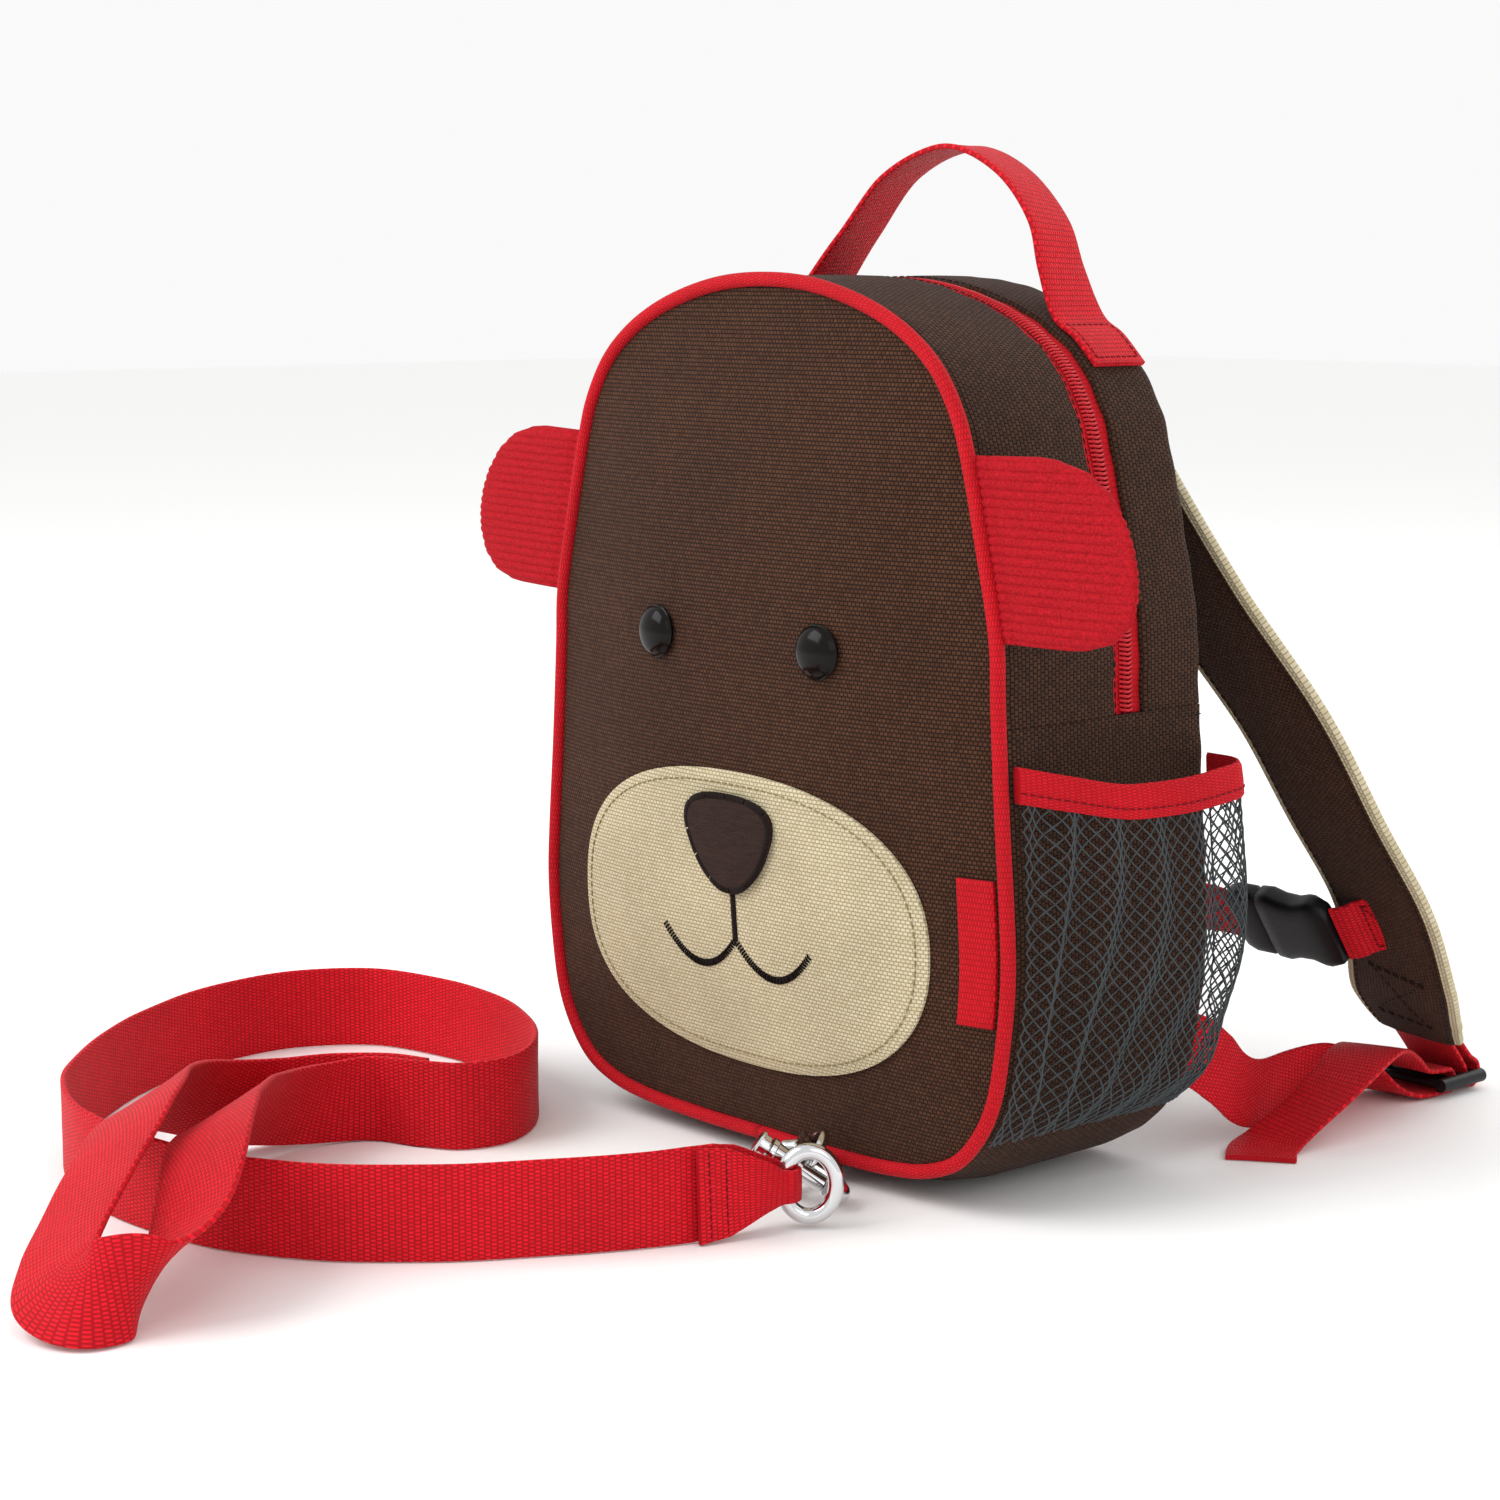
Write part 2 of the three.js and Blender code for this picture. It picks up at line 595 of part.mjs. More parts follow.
function pocketNet(side) {
  const alongs = Array.from({ length: NET_COLUMNS + 1 }, (_, i) => i / NET_COLUMNS);
  const reach = 1 - BINDING_SHARE - FIT_GAP / (POCKET_TOP - POCKET_BOTTOM);
  const ups = Array.from({ length: NET_ROWS + 1 }, (_, j) => (j / NET_ROWS) * reach);
  const skin = (offset) => mirrored(alongs.map((a) => ups.map((u) => pocketPoint(a, u, offset))), side);
  return sheet(skin(NET_THICKNESS), skin(0), false, () => true);
}

function pocketBinding(side) {
  const steps = 16;
  const alongs = Array.from({ length: steps + 1 }, (_, i) => i / steps);
  const ups = [1 - BINDING_SHARE, 1 - 0.2 * BINDING_SHARE, 1];
  const row = (along, offsets) => ups.map((up, k) => pocketPoint(along, up, offsets[k]));
  const skin = (offsets) => mirrored(alongs.map((along) => row(along, offsets)), side);
  const outer = BINDING_THICKNESS - 0.1;
  return sheet(skin([outer, outer, outer - 0.7]), skin([0, 0, 0.5]));
}

for (const [label, side] of [['left', -1], ['right', 1]]) {
  add(`pocket_net_${label}`, pocketNet(side), GREY, 0.8);
  add(`pocket_binding_${label}`, pocketBinding(side), RED, 0.7);
}

// Shoulder straps: sewn to the back near the top, they fall behind the bag to the floor.
const STRAP_ROUTE = [
  [43, HALF_DEPTH + 5, 228], [43.5, HALF_DEPTH + 5.4, 214], [49, 56, 190], [64, 72, 154], [81.5, 87, 121],
  [90, 101, 92], [94, 118, 66], [90, 134, 43], [83, 147, 29], [80, 158, 19.5],
];
const flip = (rows, side) => rows.map((row) => ({
  at: v3(row.at.x * side, row.at.y, row.at.z),
  across: v3(row.across.x, row.across.y * side, row.across.z * side),
  width: row.width,
}));

function shoulderStrap(side) {
  const rows = STRAP_ROUTE.map(([x, y, z], i) => ({
    at: v3(x, y, z),
    across: v3(1, i === STRAP_ROUTE.length - 1 ? 0 : -0.08, 0),
    width: i === STRAP_ROUTE.length - 1 ? STRAP_WIDTH * 0.78 : STRAP_WIDTH,
  }));
  return webbing(flip(rows, side), STRAP_THICKNESS, 22, 2);
}

// Ladder lock: a flat frame of bars; its length is its bars and slots.
const LOCK_BARS = 4;
const LOCK_LENGTH = LOCK_BARS * LOCK_BAR + (LOCK_BARS - 1) * LOCK_SLOT;
const LOCK_FRONT = 153.6;
const LOCK_X = 79;

function ladderLock(side) {
  const shape = new THREE.Shape();
  const half = LOCK_WIDTH / 2;
  const corner = 2;
  shape.moveTo(-half + corner, 0);
  shape.lineTo(half - corner, 0);
  shape.lineTo(half, corner);
  shape.lineTo(half, LOCK_LENGTH - corner);
  shape.lineTo(half - corner, LOCK_LENGTH);
  shape.lineTo(-half + corner, LOCK_LENGTH);
  shape.lineTo(-half, LOCK_LENGTH - corner);
  shape.lineTo(-half, corner);
  shape.closePath();
  const slotHalf = HARNESS_WEB / 2 + 0.8;
  for (let i = 0; i < LOCK_BARS - 1; i += 1) {
    const y = LOCK_BAR + i * (LOCK_BAR + LOCK_SLOT);
    const slot = new THREE.Path();
    slot.moveTo(-slotHalf, y);
    slot.lineTo(-slotHalf, y + LOCK_SLOT);
    slot.lineTo(slotHalf, y + LOCK_SLOT);
    slot.lineTo(slotHalf, y);
    slot.closePath();
    shape.holes.push(slot);
  }
  const geometry = new THREE.ExtrudeGeometry(shape, { depth: LOCK_THICKNESS, bevelEnabled: false });
  geometry.translate(side * LOCK_X, LOCK_FRONT, LOCK_LIFT);
  return geometry;
}

const lockSlotMiddle = (i) => LOCK_FRONT + LOCK_BAR + i * (LOCK_BAR + LOCK_SLOT) + LOCK_SLOT / 2;
const lockBarMiddle = (i) => LOCK_FRONT + LOCK_BAR / 2 + i * (LOCK_BAR + LOCK_SLOT);
const LOCK_MIDDLE = LOCK_LIFT + LOCK_THICKNESS / 2;
const LOCK_TOP = LOCK_LIFT + LOCK_THICKNESS;
const WEB_UNDER = WEBBING / 2 + 0.15;
const WEB_OVER = LOCK_TOP + WEBBING / 2 + 0.4;

// Webbing from the strap's tip round the lock's last bar
function tipWeb(side) {
  const end = STRAP_ROUTE[STRAP_ROUTE.length - 1];
  const rear = lockBarMiddle(3);
  const slot = lockSlotMiddle(2);
  const points = [
    [end[1] + 0.55, end[2] - 0.5], [163, 15.2], [slot - 3, 9.6], [slot - 0.4, LOCK_MIDDLE + 1.5],
    [slot, LOCK_MIDDLE], [slot + 0.8, 1.9], [rear, WEB_UNDER], [rear + 2.6, 2.2], [rear + 3.2, LOCK_MIDDLE],
    [rear + 2, WEB_OVER], [rear - 1.5, WEB_OVER + 2.4], [rear - 5.5, WEB_OVER + 6.4], [164.2, 18.4],
  ];
  const rows = points.map(([y, z]) => ({ at: v3(LOCK_X, y, z), across: v3(1, 0, 0), width: HARNESS_WEB }));
  rows[0].at.x = end[0];
  return webbing(flip(rows, side), WEBBING - 0.2, 25);
}

// Adjusting webbing: from the bag's lower corner, round the lock's second bar, and back as a free tail
function adjusterWeb(side) {
  const bar = lockBarMiddle(1);
  const slot = lockSlotMiddle(1);
  const points = [
    [68, HALF_DEPTH + 3.1, 35, 0, 0, 1], [77, HALF_DEPTH + 3.1, 34.5, 0, 0, 1], [84, 46.5, 33, 0, 0, 1],
    [85, 57, 26, 0, 0, 1], [82, 70, 17, 0, 0, 1], [78, 84, 12.2, 0, 0, 1], [75, 100, 11.6, 0, 0, 1],
    [74.5, 116, 11.4, 0.15, 0, 1], [75.5, 130, 8.5, 0.8, 0, 0.6], [77.5, 141, 3.6, 1, 0, 0.12],
    [79, 149, WEB_UNDER + 0.5, 1, 0, 0], [79, bar - 1, WEB_UNDER + 0.2, 1, 0, 0],
    [79, slot - 1.2, WEB_UNDER + 0.5, 1, 0, 0], [79, slot, LOCK_MIDDLE, 1, 0, 0],
    [79, slot - 1.4, WEB_OVER - 0.5, 1, 0, 0], [79, bar - 2, WEB_OVER, 1, 0, 0],
    [79, 152, WEB_OVER + 1.2, 1, 0, 0], [81, 142, 14], [86, 128, 20], [92, 114, 21.5], [94.5, 100, 17],
    [92.5, 87, 8.5], [90.5, 76, 2.4], [92, 69, 1.3], [97, 62, 1],
  ];
  const path = new THREE.CatmullRomCurve3(points.map(([x, y, z]) => v3(x, y, z)), false, 'centripetal');
  const rows = points.map(([x, y, z, ...across], i) => ({
    at: v3(x, y, z),
    across: across.length ? v3(...across) : levelLeft(path.getTangent(i / (points.length - 1))),
    width: HARNESS_WEB,
  }));
  return webbing(flip(rows, side), WEBBING - 0.2, 48);
}

for (const [label, side] of [['left', -1], ['right', 1]]) {
  add(`shoulder_strap_${label}`, shoulderStrap(side), BROWN, 0.9);
  add(`tip_web_${label}`, tipWeb(side), RED, 0.75);
  add(`ladder_lock_${label}`, ladderLock(side), BLACK, 0.4);
  add(`adjuster_web_${label}`, adjusterWeb(side), RED, 0.75);
}

// Chest strap: its own frame lies on the front faces of the shoulder straps.
const STRAP_SLOPE = v3(0, -0.57, 0.82).normalize();
const STRAP_FACE = v3(0, -STRAP_SLOPE.z, STRAP_SLOPE.y);
const CHEST_POINT = v3(0, 121.5, 60).addScaledVector(STRAP_FACE, STRAP_THICKNESS / 2 + 1);
const CHEST_SEWN = 100;
const BUCKLE_RIGHT = 81;
const BUCKLE_LEFT = BUCKLE_RIGHT - BUCKLE_LENGTH;
const BUCKLE_SPLIT = 0.68;

function chestPlace(x, lift, along = 0) {
  return v3(x, 0, 0).add(CHEST_POINT).addScaledVector(STRAP_FACE, lift).addScaledVector(STRAP_SLOPE, along);
}

function chestWeb(rows) {
  return webbing(rows.map(([x, lift, along]) => ({
    at: chestPlace(x, lift, along),
    across: STRAP_SLOPE.clone(),
    width: HARNESS_WEB,
  })), WEBBING - 0.2, 3 * rows.length - 4);
}

function buckleHalf(outlinePoints) {
  const shape = new THREE.Shape(outlinePoints.map(([x, w]) => new THREE.Vector2(x, w)));
  const depth = BUCKLE_THICKNESS - 2;
  const geometry = new THREE.ExtrudeGeometry(shape, {
    depth, bevelEnabled: true, bevelThickness: 1, bevelSize: 1, bevelOffset: -1, bevelSegments: 1,
  });
  geometry.translate(0, 0, -depth / 2);
  const frame = new THREE.Matrix4().makeBasis(v3(1, 0, 0), STRAP_SLOPE, STRAP_FACE);
  const centre = chestPlace(0, BUCKLE_LIFT);
  frame.setPosition(centre);
  geometry.applyMatrix4(frame);
  return geometry;
}
const BUCKLE_LIFT = BUCKLE_THICKNESS / 2 + 0.4;
const bw = BUCKLE_WIDTH / 2;
const splitX = BUCKLE_LEFT + (1 - BUCKLE_SPLIT) * BUCKLE_LENGTH;
add('chest_buckle_socket', buckleHalf([
  [splitX + FIT_GAP / 2, -bw], [BUCKLE_RIGHT - 6, -bw], [BUCKLE_RIGHT, -bw + 3], [BUCKLE_RIGHT, bw - 3],
  [BUCKLE_RIGHT - 6, bw], [splitX + FIT_GAP / 2, bw],
]), BLACK, 0.4);
add('chest_buckle_prong', buckleHalf([
  [BUCKLE_LEFT, -bw + 2], [BUCKLE_LEFT + 3, -bw + 0.5], [splitX - FIT_GAP / 2, -bw + 0.5],
  [splitX - FIT_GAP / 2, bw - 0.5], [BUCKLE_LEFT + 3, bw - 0.5], [BUCKLE_LEFT, bw - 2],
]), BLACK, 0.4);
// Each point lies at a share of the sewn reach, with its lift off the straps and its shift along them.
const chestPoint = ([share, lift, shift]) => [share * CHEST_SEWN, lift, shift];
add('chest_web_right', chestWeb([
  ...[[1, 0, 0], [0.92, 0, 0], [0.86, 1.6, 0]].map(chestPoint),
  [BUCKLE_RIGHT + 2 * FIT_GAP, BUCKLE_LIFT, 0],
]), RED, 0.75);
add('chest_web_left', chestWeb([
  [BUCKLE_LEFT - 3 * FIT_GAP, BUCKLE_LIFT, 0],
  ...[
    [0.36, 3.6, -0.3], [0.1, 3, -2.4], [-0.2, 3, -3], [-0.5, 2.4, -2], [-0.74, 0.8, -0.5],
    [-0.86, 0, 0], [-1, 0, 0],
  ].map(chestPoint),
]), RED, 0.75);

// Leash: webbing standing on its edge. Points are chosen by hand: x, y, height of its middle,
// lean of its upper edge to the left of its run in degrees, and share of its full width.
const STAND = HALF_WEB + LEASH_LIFT;
const LEASH_ROUTE = [
  [48.6, -105.4, STAND, 4, 1], [50.6, -97, STAND, 4, 0.92], [53.4, -89, STAND, 4, 0.62],
  [55.2, -82.1, 12.3, 0, 0.36], [56.6, -79.5, 12.3, 0, 0.34], [55.4, -76.5, 12.3, 0, 0.34],
  [52.3, -75.6, 12.3, 0, 0.34], [49.8, -77.3, 12.3, 0, 0.36],
  [47.2, -84, 12.6, 0, 0.6], [46.8, -91.5, STAND, -2, 0.85], [46.8, -98.5, STAND, -2, 0.98],
  [45.4, -106, STAND, -2, 1], [41.5, -118, STAND, 0, 1],
  [31.5, -137, STAND, 0, 1], [17.5, -160, STAND, 0, 1], [-4, -184, STAND, 0, 1], [-30, -199, STAND, 0, 1],
  [-62, -205, STAND, 0, 1], [-94, -203, STAND, 0, 1], [-127, -189, STAND, 0, 1], [-157, -161, STAND, 0, 1],
  [-175, -137, STAND, 0, 1], [-188, -112, STAND, 0, 1], [-193, -90, STAND, 0, 1], [-191, -67, STAND, 0, 1],
  [-177, -48, STAND, 0, 1], [-149, -40.5, STAND, 0, 1], [-120, -41.5, STAND, 0, 1], [-91, -52, STAND, 0, 1],
  [-68, -69, STAND, 0, 1], [-59, -86, STAND, 0, 1], [-62, -99, STAND, 0, 1], [-73, -106, STAND, 0, 1],
  [-86, -113, STAND, 4, 1], [-90, -128, STAND + 0.6, 14, 1], [-84, -147, 17, 28, 1], [-68, -168, 24, 44, 1],
  [-47, -187, 31, 58, 1], [-26, -204, 33.2, 64, 1], [-9, -217, 30, 62, 1], [5, -231, 21, 56, 1],
  [11, -243, 14, 34, 1], [13, -253, STAND, -8, 1], [8, -261, 12, -34, 1], [-2, -262, 13, -48, 1],
  [-12, -254, 18, -58, 1], [-24, -240, 25, -62, 1], [-41, -221, 32.4, -64, 1], [-58, -205, 33.8, -62, 1],
  [-77, -190, 30, -54, 1], [-92, -174, 24, -38, 1], [-100, -155, 17.5, -20, 1], [-101, -136, 13.6, -8, 1],
  [-95, -119, STAND, 0, 1], [-84.5, -107.6, STAND, 0, 1], [-73, -102.6, STAND, 0, 1],
];

function leashWeb() {
  const points = LEASH_ROUTE.map(([x, y, z]) => v3(x, y, z));
  const curve = new THREE.CatmullRomCurve3(points, false, 'centripetal');
  const rows = LEASH_ROUTE.map(([x, y, z, lean, share], i) => {
    const tangent = curve.getTangent(i / (LEASH_ROUTE.length - 1));
    const left = levelLeft(tangent);
    const angle = THREE.MathUtils.degToRad(lean);
    const across = UP.clone().multiplyScalar(Math.cos(angle)).addScaledVector(left, Math.sin(angle));
    return { at: v3(x, y, z), across, width: share * LEASH_WIDTH };
  });
  return webbing(rows, WEBBING, 104);
}
add('leash_web', leashWeb(), RED, 0.75);

// Snap hook: its frame runs along the sliding bolt.
const TO_CAMERA_SIDE = v3(0.747, -0.665, 0);
const ALONG_FRONT = v3(0.665, 0.747, 0);
const BOLT_AXIS = ALONG_FRONT.clone().multiplyScalar(-0.83).addScaledVector(UP, 0.56).normalize();
const HOOK_BACK = TO_CAMERA_SIDE.clone().negate();
const HOOK_DOWN = BOLT_AXIS.clone().cross(HOOK_BACK);
const HOOK_ORIGIN = v3(46, -67, 11.5);
const EYE_CENTRE = v3(57.2, -74.5, 12.3);

function hookPlace(a, b, c = 0) {
  const back = HOOK_BACK.clone().multiplyScalar(b);
  return HOOK_ORIGIN.clone().addScaledVector(BOLT_AXIS, a).add(back).addScaledVector(HOOK_DOWN, c);
}

function toManifold(geometry) {
  return new wasm.Manifold(new wasm.Mesh({
    numProp: 3,
    vertProperties: new Float32Array(geometry.getAttribute('position').array),
    triVerts: new Uint32Array(geometry.getIndex().array),
  }));
}

function fromManifold(manifold) {
  const mesh = manifold.getMesh();
  const geometry = new THREE.BufferGeometry();
  geometry.setAttribute('position', new THREE.BufferAttribute(new Float32Array(mesh.vertProperties), 3));
  geometry.setIndex(new THREE.BufferAttribute(new Uint32Array(mesh.triVerts), 1));
  return geometry;
}

function along(points, count) {
  return new THREE.CatmullRomCurve3(points, false, 'centripetal').getSpacedPoints(count);
}

function ringPoints(centre, first, second, radius, count, height = radius) {
  return Array.from({ length: count }, (_, i) => {
    const a = (2 * Math.PI * i) / count;
    const across = first.clone().multiplyScalar(radius * Math.cos(a));
    return centre.clone().add(across).addScaledVector(second, height * Math.sin(a));
  });
}

const BARREL_START = 1;
const BARREL_END = BARREL_START + BARREL_LENGTH;
const NOSE = -3 - BOLT_TRAVEL;

const rod = (from, to, radius, sides) => (
  wire([hookPlace(from, 0), hookPlace(to, 0)], radius, sides, false, HOOK_DOWN)
);

function snapHook() {
  const reach = HOOK_REACH;
  const body = wire(along([
    hookPlace(NOSE, 0), hookPlace(NOSE - 2.4, 0.6), hookPlace(NOSE - 4.6, 3), hookPlace(NOSE - 5, 6.5),
    hookPlace(NOSE - 3, 9.8), hookPlace(NOSE + 1, reach), hookPlace(0, reach), hookPlace(4, reach - 1),
    hookPlace(6.4, reach - 4), hookPlace(7, BARREL_RADIUS + 1.2), hookPlace(7, BARREL_RADIUS - 0.7),
  ], 16), HOOK_WIRE, 6, false, HOOK_DOWN);
  const barrel = rod(BARREL_START, BARREL_END, BARREL_RADIUS, 10);
  const bore = rod(BARREL_START - 1, BARREL_END + 1, BOLT_RADIUS + FIT_GAP, 10);
  const eyePoints = ringPoints(EYE_CENTRE, ALONG_FRONT, UP, EYE_RING_HALF_WIDTH, 16, EYE_RING_HALF_HEIGHT);
  const eye = wire(eyePoints, EYE_RING_WIRE, 7, true, TO_CAMERA_SIDE);
  const neck = wire(along([
    EYE_CENTRE.clone().addScaledVector(UP, EYE_RING_HALF_HEIGHT), hookPlace(2, BARREL_RADIUS + 0.6, -9),
    hookPlace(6, reach - 3.5, -1),
  ], 4), HOOK_WIRE, 6, false, TO_CAMERA_SIDE);
  const whole = toManifold(body).add(toManifold(barrel)).subtract(toManifold(bore));
  return fromManifold(whole.add(toManifold(eye)).add(toManifold(neck)));
}
add('snap_hook', snapHook(), STEEL, 0.15, 1);

function snapBolt() {
  const shaft = rod(NOSE + 0.9, BARREL_END + 1.5, BOLT_RADIUS, 8);
  const knob = rod(BARREL_END + 0.5, BARREL_END + 3.4, BARREL_RADIUS - 0.3, 10);
  const lip = rod(BARREL_END + 2.4, BARREL_END + 3, BARREL_RADIUS + 0.2, 10);
  return fromManifold(toManifold(shaft).add(toManifold(knob)).add(toManifold(lip)));
}
add('snap_bolt', snapBolt(), STEEL, 0.2, 1);

// Anchor: a ring held by a webbing tab sewn under the front seam
const ANCHOR_B = HOOK_REACH - HOOK_WIRE - FIT_GAP - ANCHOR_WIRE + ANCHOR_RADIUS;
const ANCHOR_CENTRE = hookPlace(-2, ANCHOR_B);
add('anchor_ring', wire(
  ringPoints(ANCHOR_CENTRE, HOOK_BACK, HOOK_DOWN, ANCHOR_RADIUS, 18), ANCHOR_WIRE, 6, true, BOLT_AXIS,
), STEEL, 0.3, 1);

function anchorTab() {
  const hold = ANCHOR_CENTRE.clone().addScaledVector(HOOK_BACK, ANCHOR_RADIUS);
  const grip = ANCHOR_WIRE + FIT_GAP + WEBBING / 2;
  const bow = ANCHOR_RADIUS - Math.sqrt(ANCHOR_RADIUS ** 2 - (TAB_WIDTH / 2) ** 2);
  const across = HOOK_DOWN.clone().negate();
  const held = (axis, back) => ({
    at: hold.clone().addScaledVector(BOLT_AXIS, axis).addScaledVector(HOOK_BACK, back),
    across,
  });
  const rows = [
    { at: v3(TAB_X, FRONT_SEAM + 1.5, 4), across: v3(-1, 0, 0) },
    { at: v3(TAB_X + 1, FRONT_SEAM - 5, 3.6), across: v3(-1, -0.3, 0.5) },
    held(-grip, 2), held(-grip, -bow), held(0, -grip - bow), held(grip, -bow), held(grip, 4),
  ];
  return webbing(rows.map((row) => ({ ...row, width: TAB_WIDTH })), WEBBING - 0.3, 18);
}
add('anchor_tab', anchorTab(), BROWN, 0.85);

export default object;
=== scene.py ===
"""A small child's backpack with a walking leash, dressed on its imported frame.

Lengths below are millimetres; a mesh is turned to metres when it is made.
+X is right as seen from the front, -Y the front, +Z up; the origin is the middle of the base.
"""
import math

import bmesh
import bpy
import numpy as np
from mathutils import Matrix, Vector


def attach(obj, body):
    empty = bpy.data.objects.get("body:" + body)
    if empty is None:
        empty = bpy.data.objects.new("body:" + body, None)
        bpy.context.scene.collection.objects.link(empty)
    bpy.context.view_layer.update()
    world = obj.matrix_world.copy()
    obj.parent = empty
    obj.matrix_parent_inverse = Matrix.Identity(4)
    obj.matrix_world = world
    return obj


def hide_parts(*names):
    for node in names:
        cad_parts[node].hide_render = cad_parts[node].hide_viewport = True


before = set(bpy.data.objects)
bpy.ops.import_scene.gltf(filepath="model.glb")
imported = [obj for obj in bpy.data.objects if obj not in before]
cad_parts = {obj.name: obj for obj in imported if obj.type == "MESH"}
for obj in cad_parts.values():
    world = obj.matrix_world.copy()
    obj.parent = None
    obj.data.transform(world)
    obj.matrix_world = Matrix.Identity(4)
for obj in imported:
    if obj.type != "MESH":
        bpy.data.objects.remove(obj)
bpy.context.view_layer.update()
BODY = "bag"
BOLT_BODY = "bolt"
MM = 0.001

# Driving dimensions, as on the frame
BAG_WIDTH = 192.8
BAG_HEIGHT = 243.0
BAG_DEPTH = 78.6
FLOOR_CLEARANCE = 5.1
CLOTH = 2.0
FIT_GAP = 0.3
PIPING_RADIUS = 2.1
GUSSET_INSET = 1.5
FRONT_BULGE = 11.0
BACK_BULGE = 2.0
SEAM_HEIGHT = 132.0
FRONT_GUSSET_DEPTH = 40.6
ZIPPER_TAPE = 13.0
COIL_WIDTH = 5.0
WEBBING = 1.6
HARNESS_WEB = 20.0
LEASH_WIDTH = 25.4
STRAP_WIDTH = 38.0
STRAP_THICKNESS = 5.0

HALF_DEPTH = BAG_DEPTH / 2
FRONT_SEAM = -HALF_DEPTH
GUSSET_FRONT = FRONT_SEAM + PIPING_RADIUS + FIT_GAP
ZIPPER_FRONT = GUSSET_FRONT + FRONT_GUSSET_DEPTH
ZIPPER_REAR = ZIPPER_FRONT + ZIPPER_TAPE
ZIPPER_MIDDLE = (ZIPPER_FRONT + ZIPPER_REAR) / 2
UP = np.array([0.0, 0.0, 1.0])
SIDES = (("left", -1), ("right", 1))


# Camera at the photograph's angle, and the leash's route, come first
CAMERA_AZIMUTH = math.radians(48.3)
CAMERA_PITCH = math.radians(8.9)
CAMERA_PLACE = (631.3, -606.8, 249.7)
CAMERA_LENS = 74.3

HALF_WEB = LEASH_WIDTH / 2
STAND = HALF_WEB + 0.3
# x, y, height of the middle, lean of the upper edge to the left in degrees, share of the full width
LEASH_ROUTE = [
    (48.6, -105.4, STAND, 4, 1), (50.6, -97, STAND, 4, 0.92), (53.4, -89, STAND, 4, 0.62),
    (55.2, -82.1, 12.3, 0, 0.36), (56.6, -79.5, 12.3, 0, 0.34), (55.4, -76.5, 12.3, 0, 0.34),
    (52.3, -75.6, 12.3, 0, 0.34), (49.8, -77.3, 12.3, 0, 0.36),
    (47.2, -84, 12.6, 0, 0.6), (46.8, -91.5, STAND, -2, 0.85), (46.8, -98.5, STAND, -2, 0.98),
    (45.4, -106, STAND, -2, 1), (41.5, -118, STAND, 0, 1),
    (31.5, -137, STAND, 0, 1), (17.5, -160, STAND, 0, 1), (-4, -184, STAND, 0, 1), (-30, -199, STAND, 0, 1),
    (-62, -205, STAND, 0, 1), (-94, -203, STAND, 0, 1), (-127, -189, STAND, 0, 1), (-157, -161, STAND, 0, 1),
    (-175, -137, STAND, 0, 1), (-188, -112, STAND, 0, 1), (-193, -90, STAND, 0, 1), (-191, -67, STAND, 0, 1),
    (-177, -48, STAND, 0, 1), (-149, -40.5, STAND, 0, 1), (-120, -41.5, STAND, 0, 1), (-91, -52, STAND, 0, 1),
    (-68, -69, STAND, 0, 1), (-59, -86, STAND, 0, 1), (-62, -99, STAND, 0, 1), (-73, -106, STAND, 0, 1),
    (-86, -113, STAND, 4, 1), (-90, -128, STAND + 0.6, 14, 1), (-84, -147, 17, 28, 1), (-68, -168, 24, 44, 1),
    (-47, -187, 31, 58, 1), (-26, -204, 33.2, 64, 1), (-9, -217, 30, 62, 1), (5, -231, 21, 56, 1),
    (11, -243, 14, 34, 1), (13, -253, STAND, -8, 1), (8, -261, 12, -34, 1), (-2, -262, 13, -48, 1),
    (-12, -254, 18, -58, 1), (-24, -240, 25, -62, 1), (-41, -221, 32.4, -64, 1), (-58, -205, 33.8, -62, 1),
    (-77, -190, 30, -54, 1), (-92, -174, 24, -38, 1), (-100, -155, 17.5, -20, 1), (-101, -136, 13.6, -8, 1),
    (-95, -119, STAND, 0, 1), (-84.5, -107.6, STAND, 0, 1), (-73, -102.6, STAND, 0, 1),
]
LEASH_STEPS = 760


def make_camera():
    data = bpy.data.cameras.new("camera")
    data.lens = CAMERA_LENS
    data.sensor_width = 36.0
    data.clip_start = 0.05
    data.clip_end = 20.0
    camera = bpy.data.objects.new("camera", data)
    bpy.context.scene.collection.objects.link(camera)
    camera.location = Vector(CAMERA_PLACE) * MM
    forward = Vector((
        -math.sin(CAMERA_AZIMUTH) * math.cos(CAMERA_PITCH),
        math.cos(CAMERA_AZIMUTH) * math.cos(CAMERA_PITCH),
        -math.sin(CAMERA_PITCH),
    ))
    camera.rotation_euler = forward.to_track_quat("-Z", "Y").to_euler()
    bpy.context.scene.camera = camera


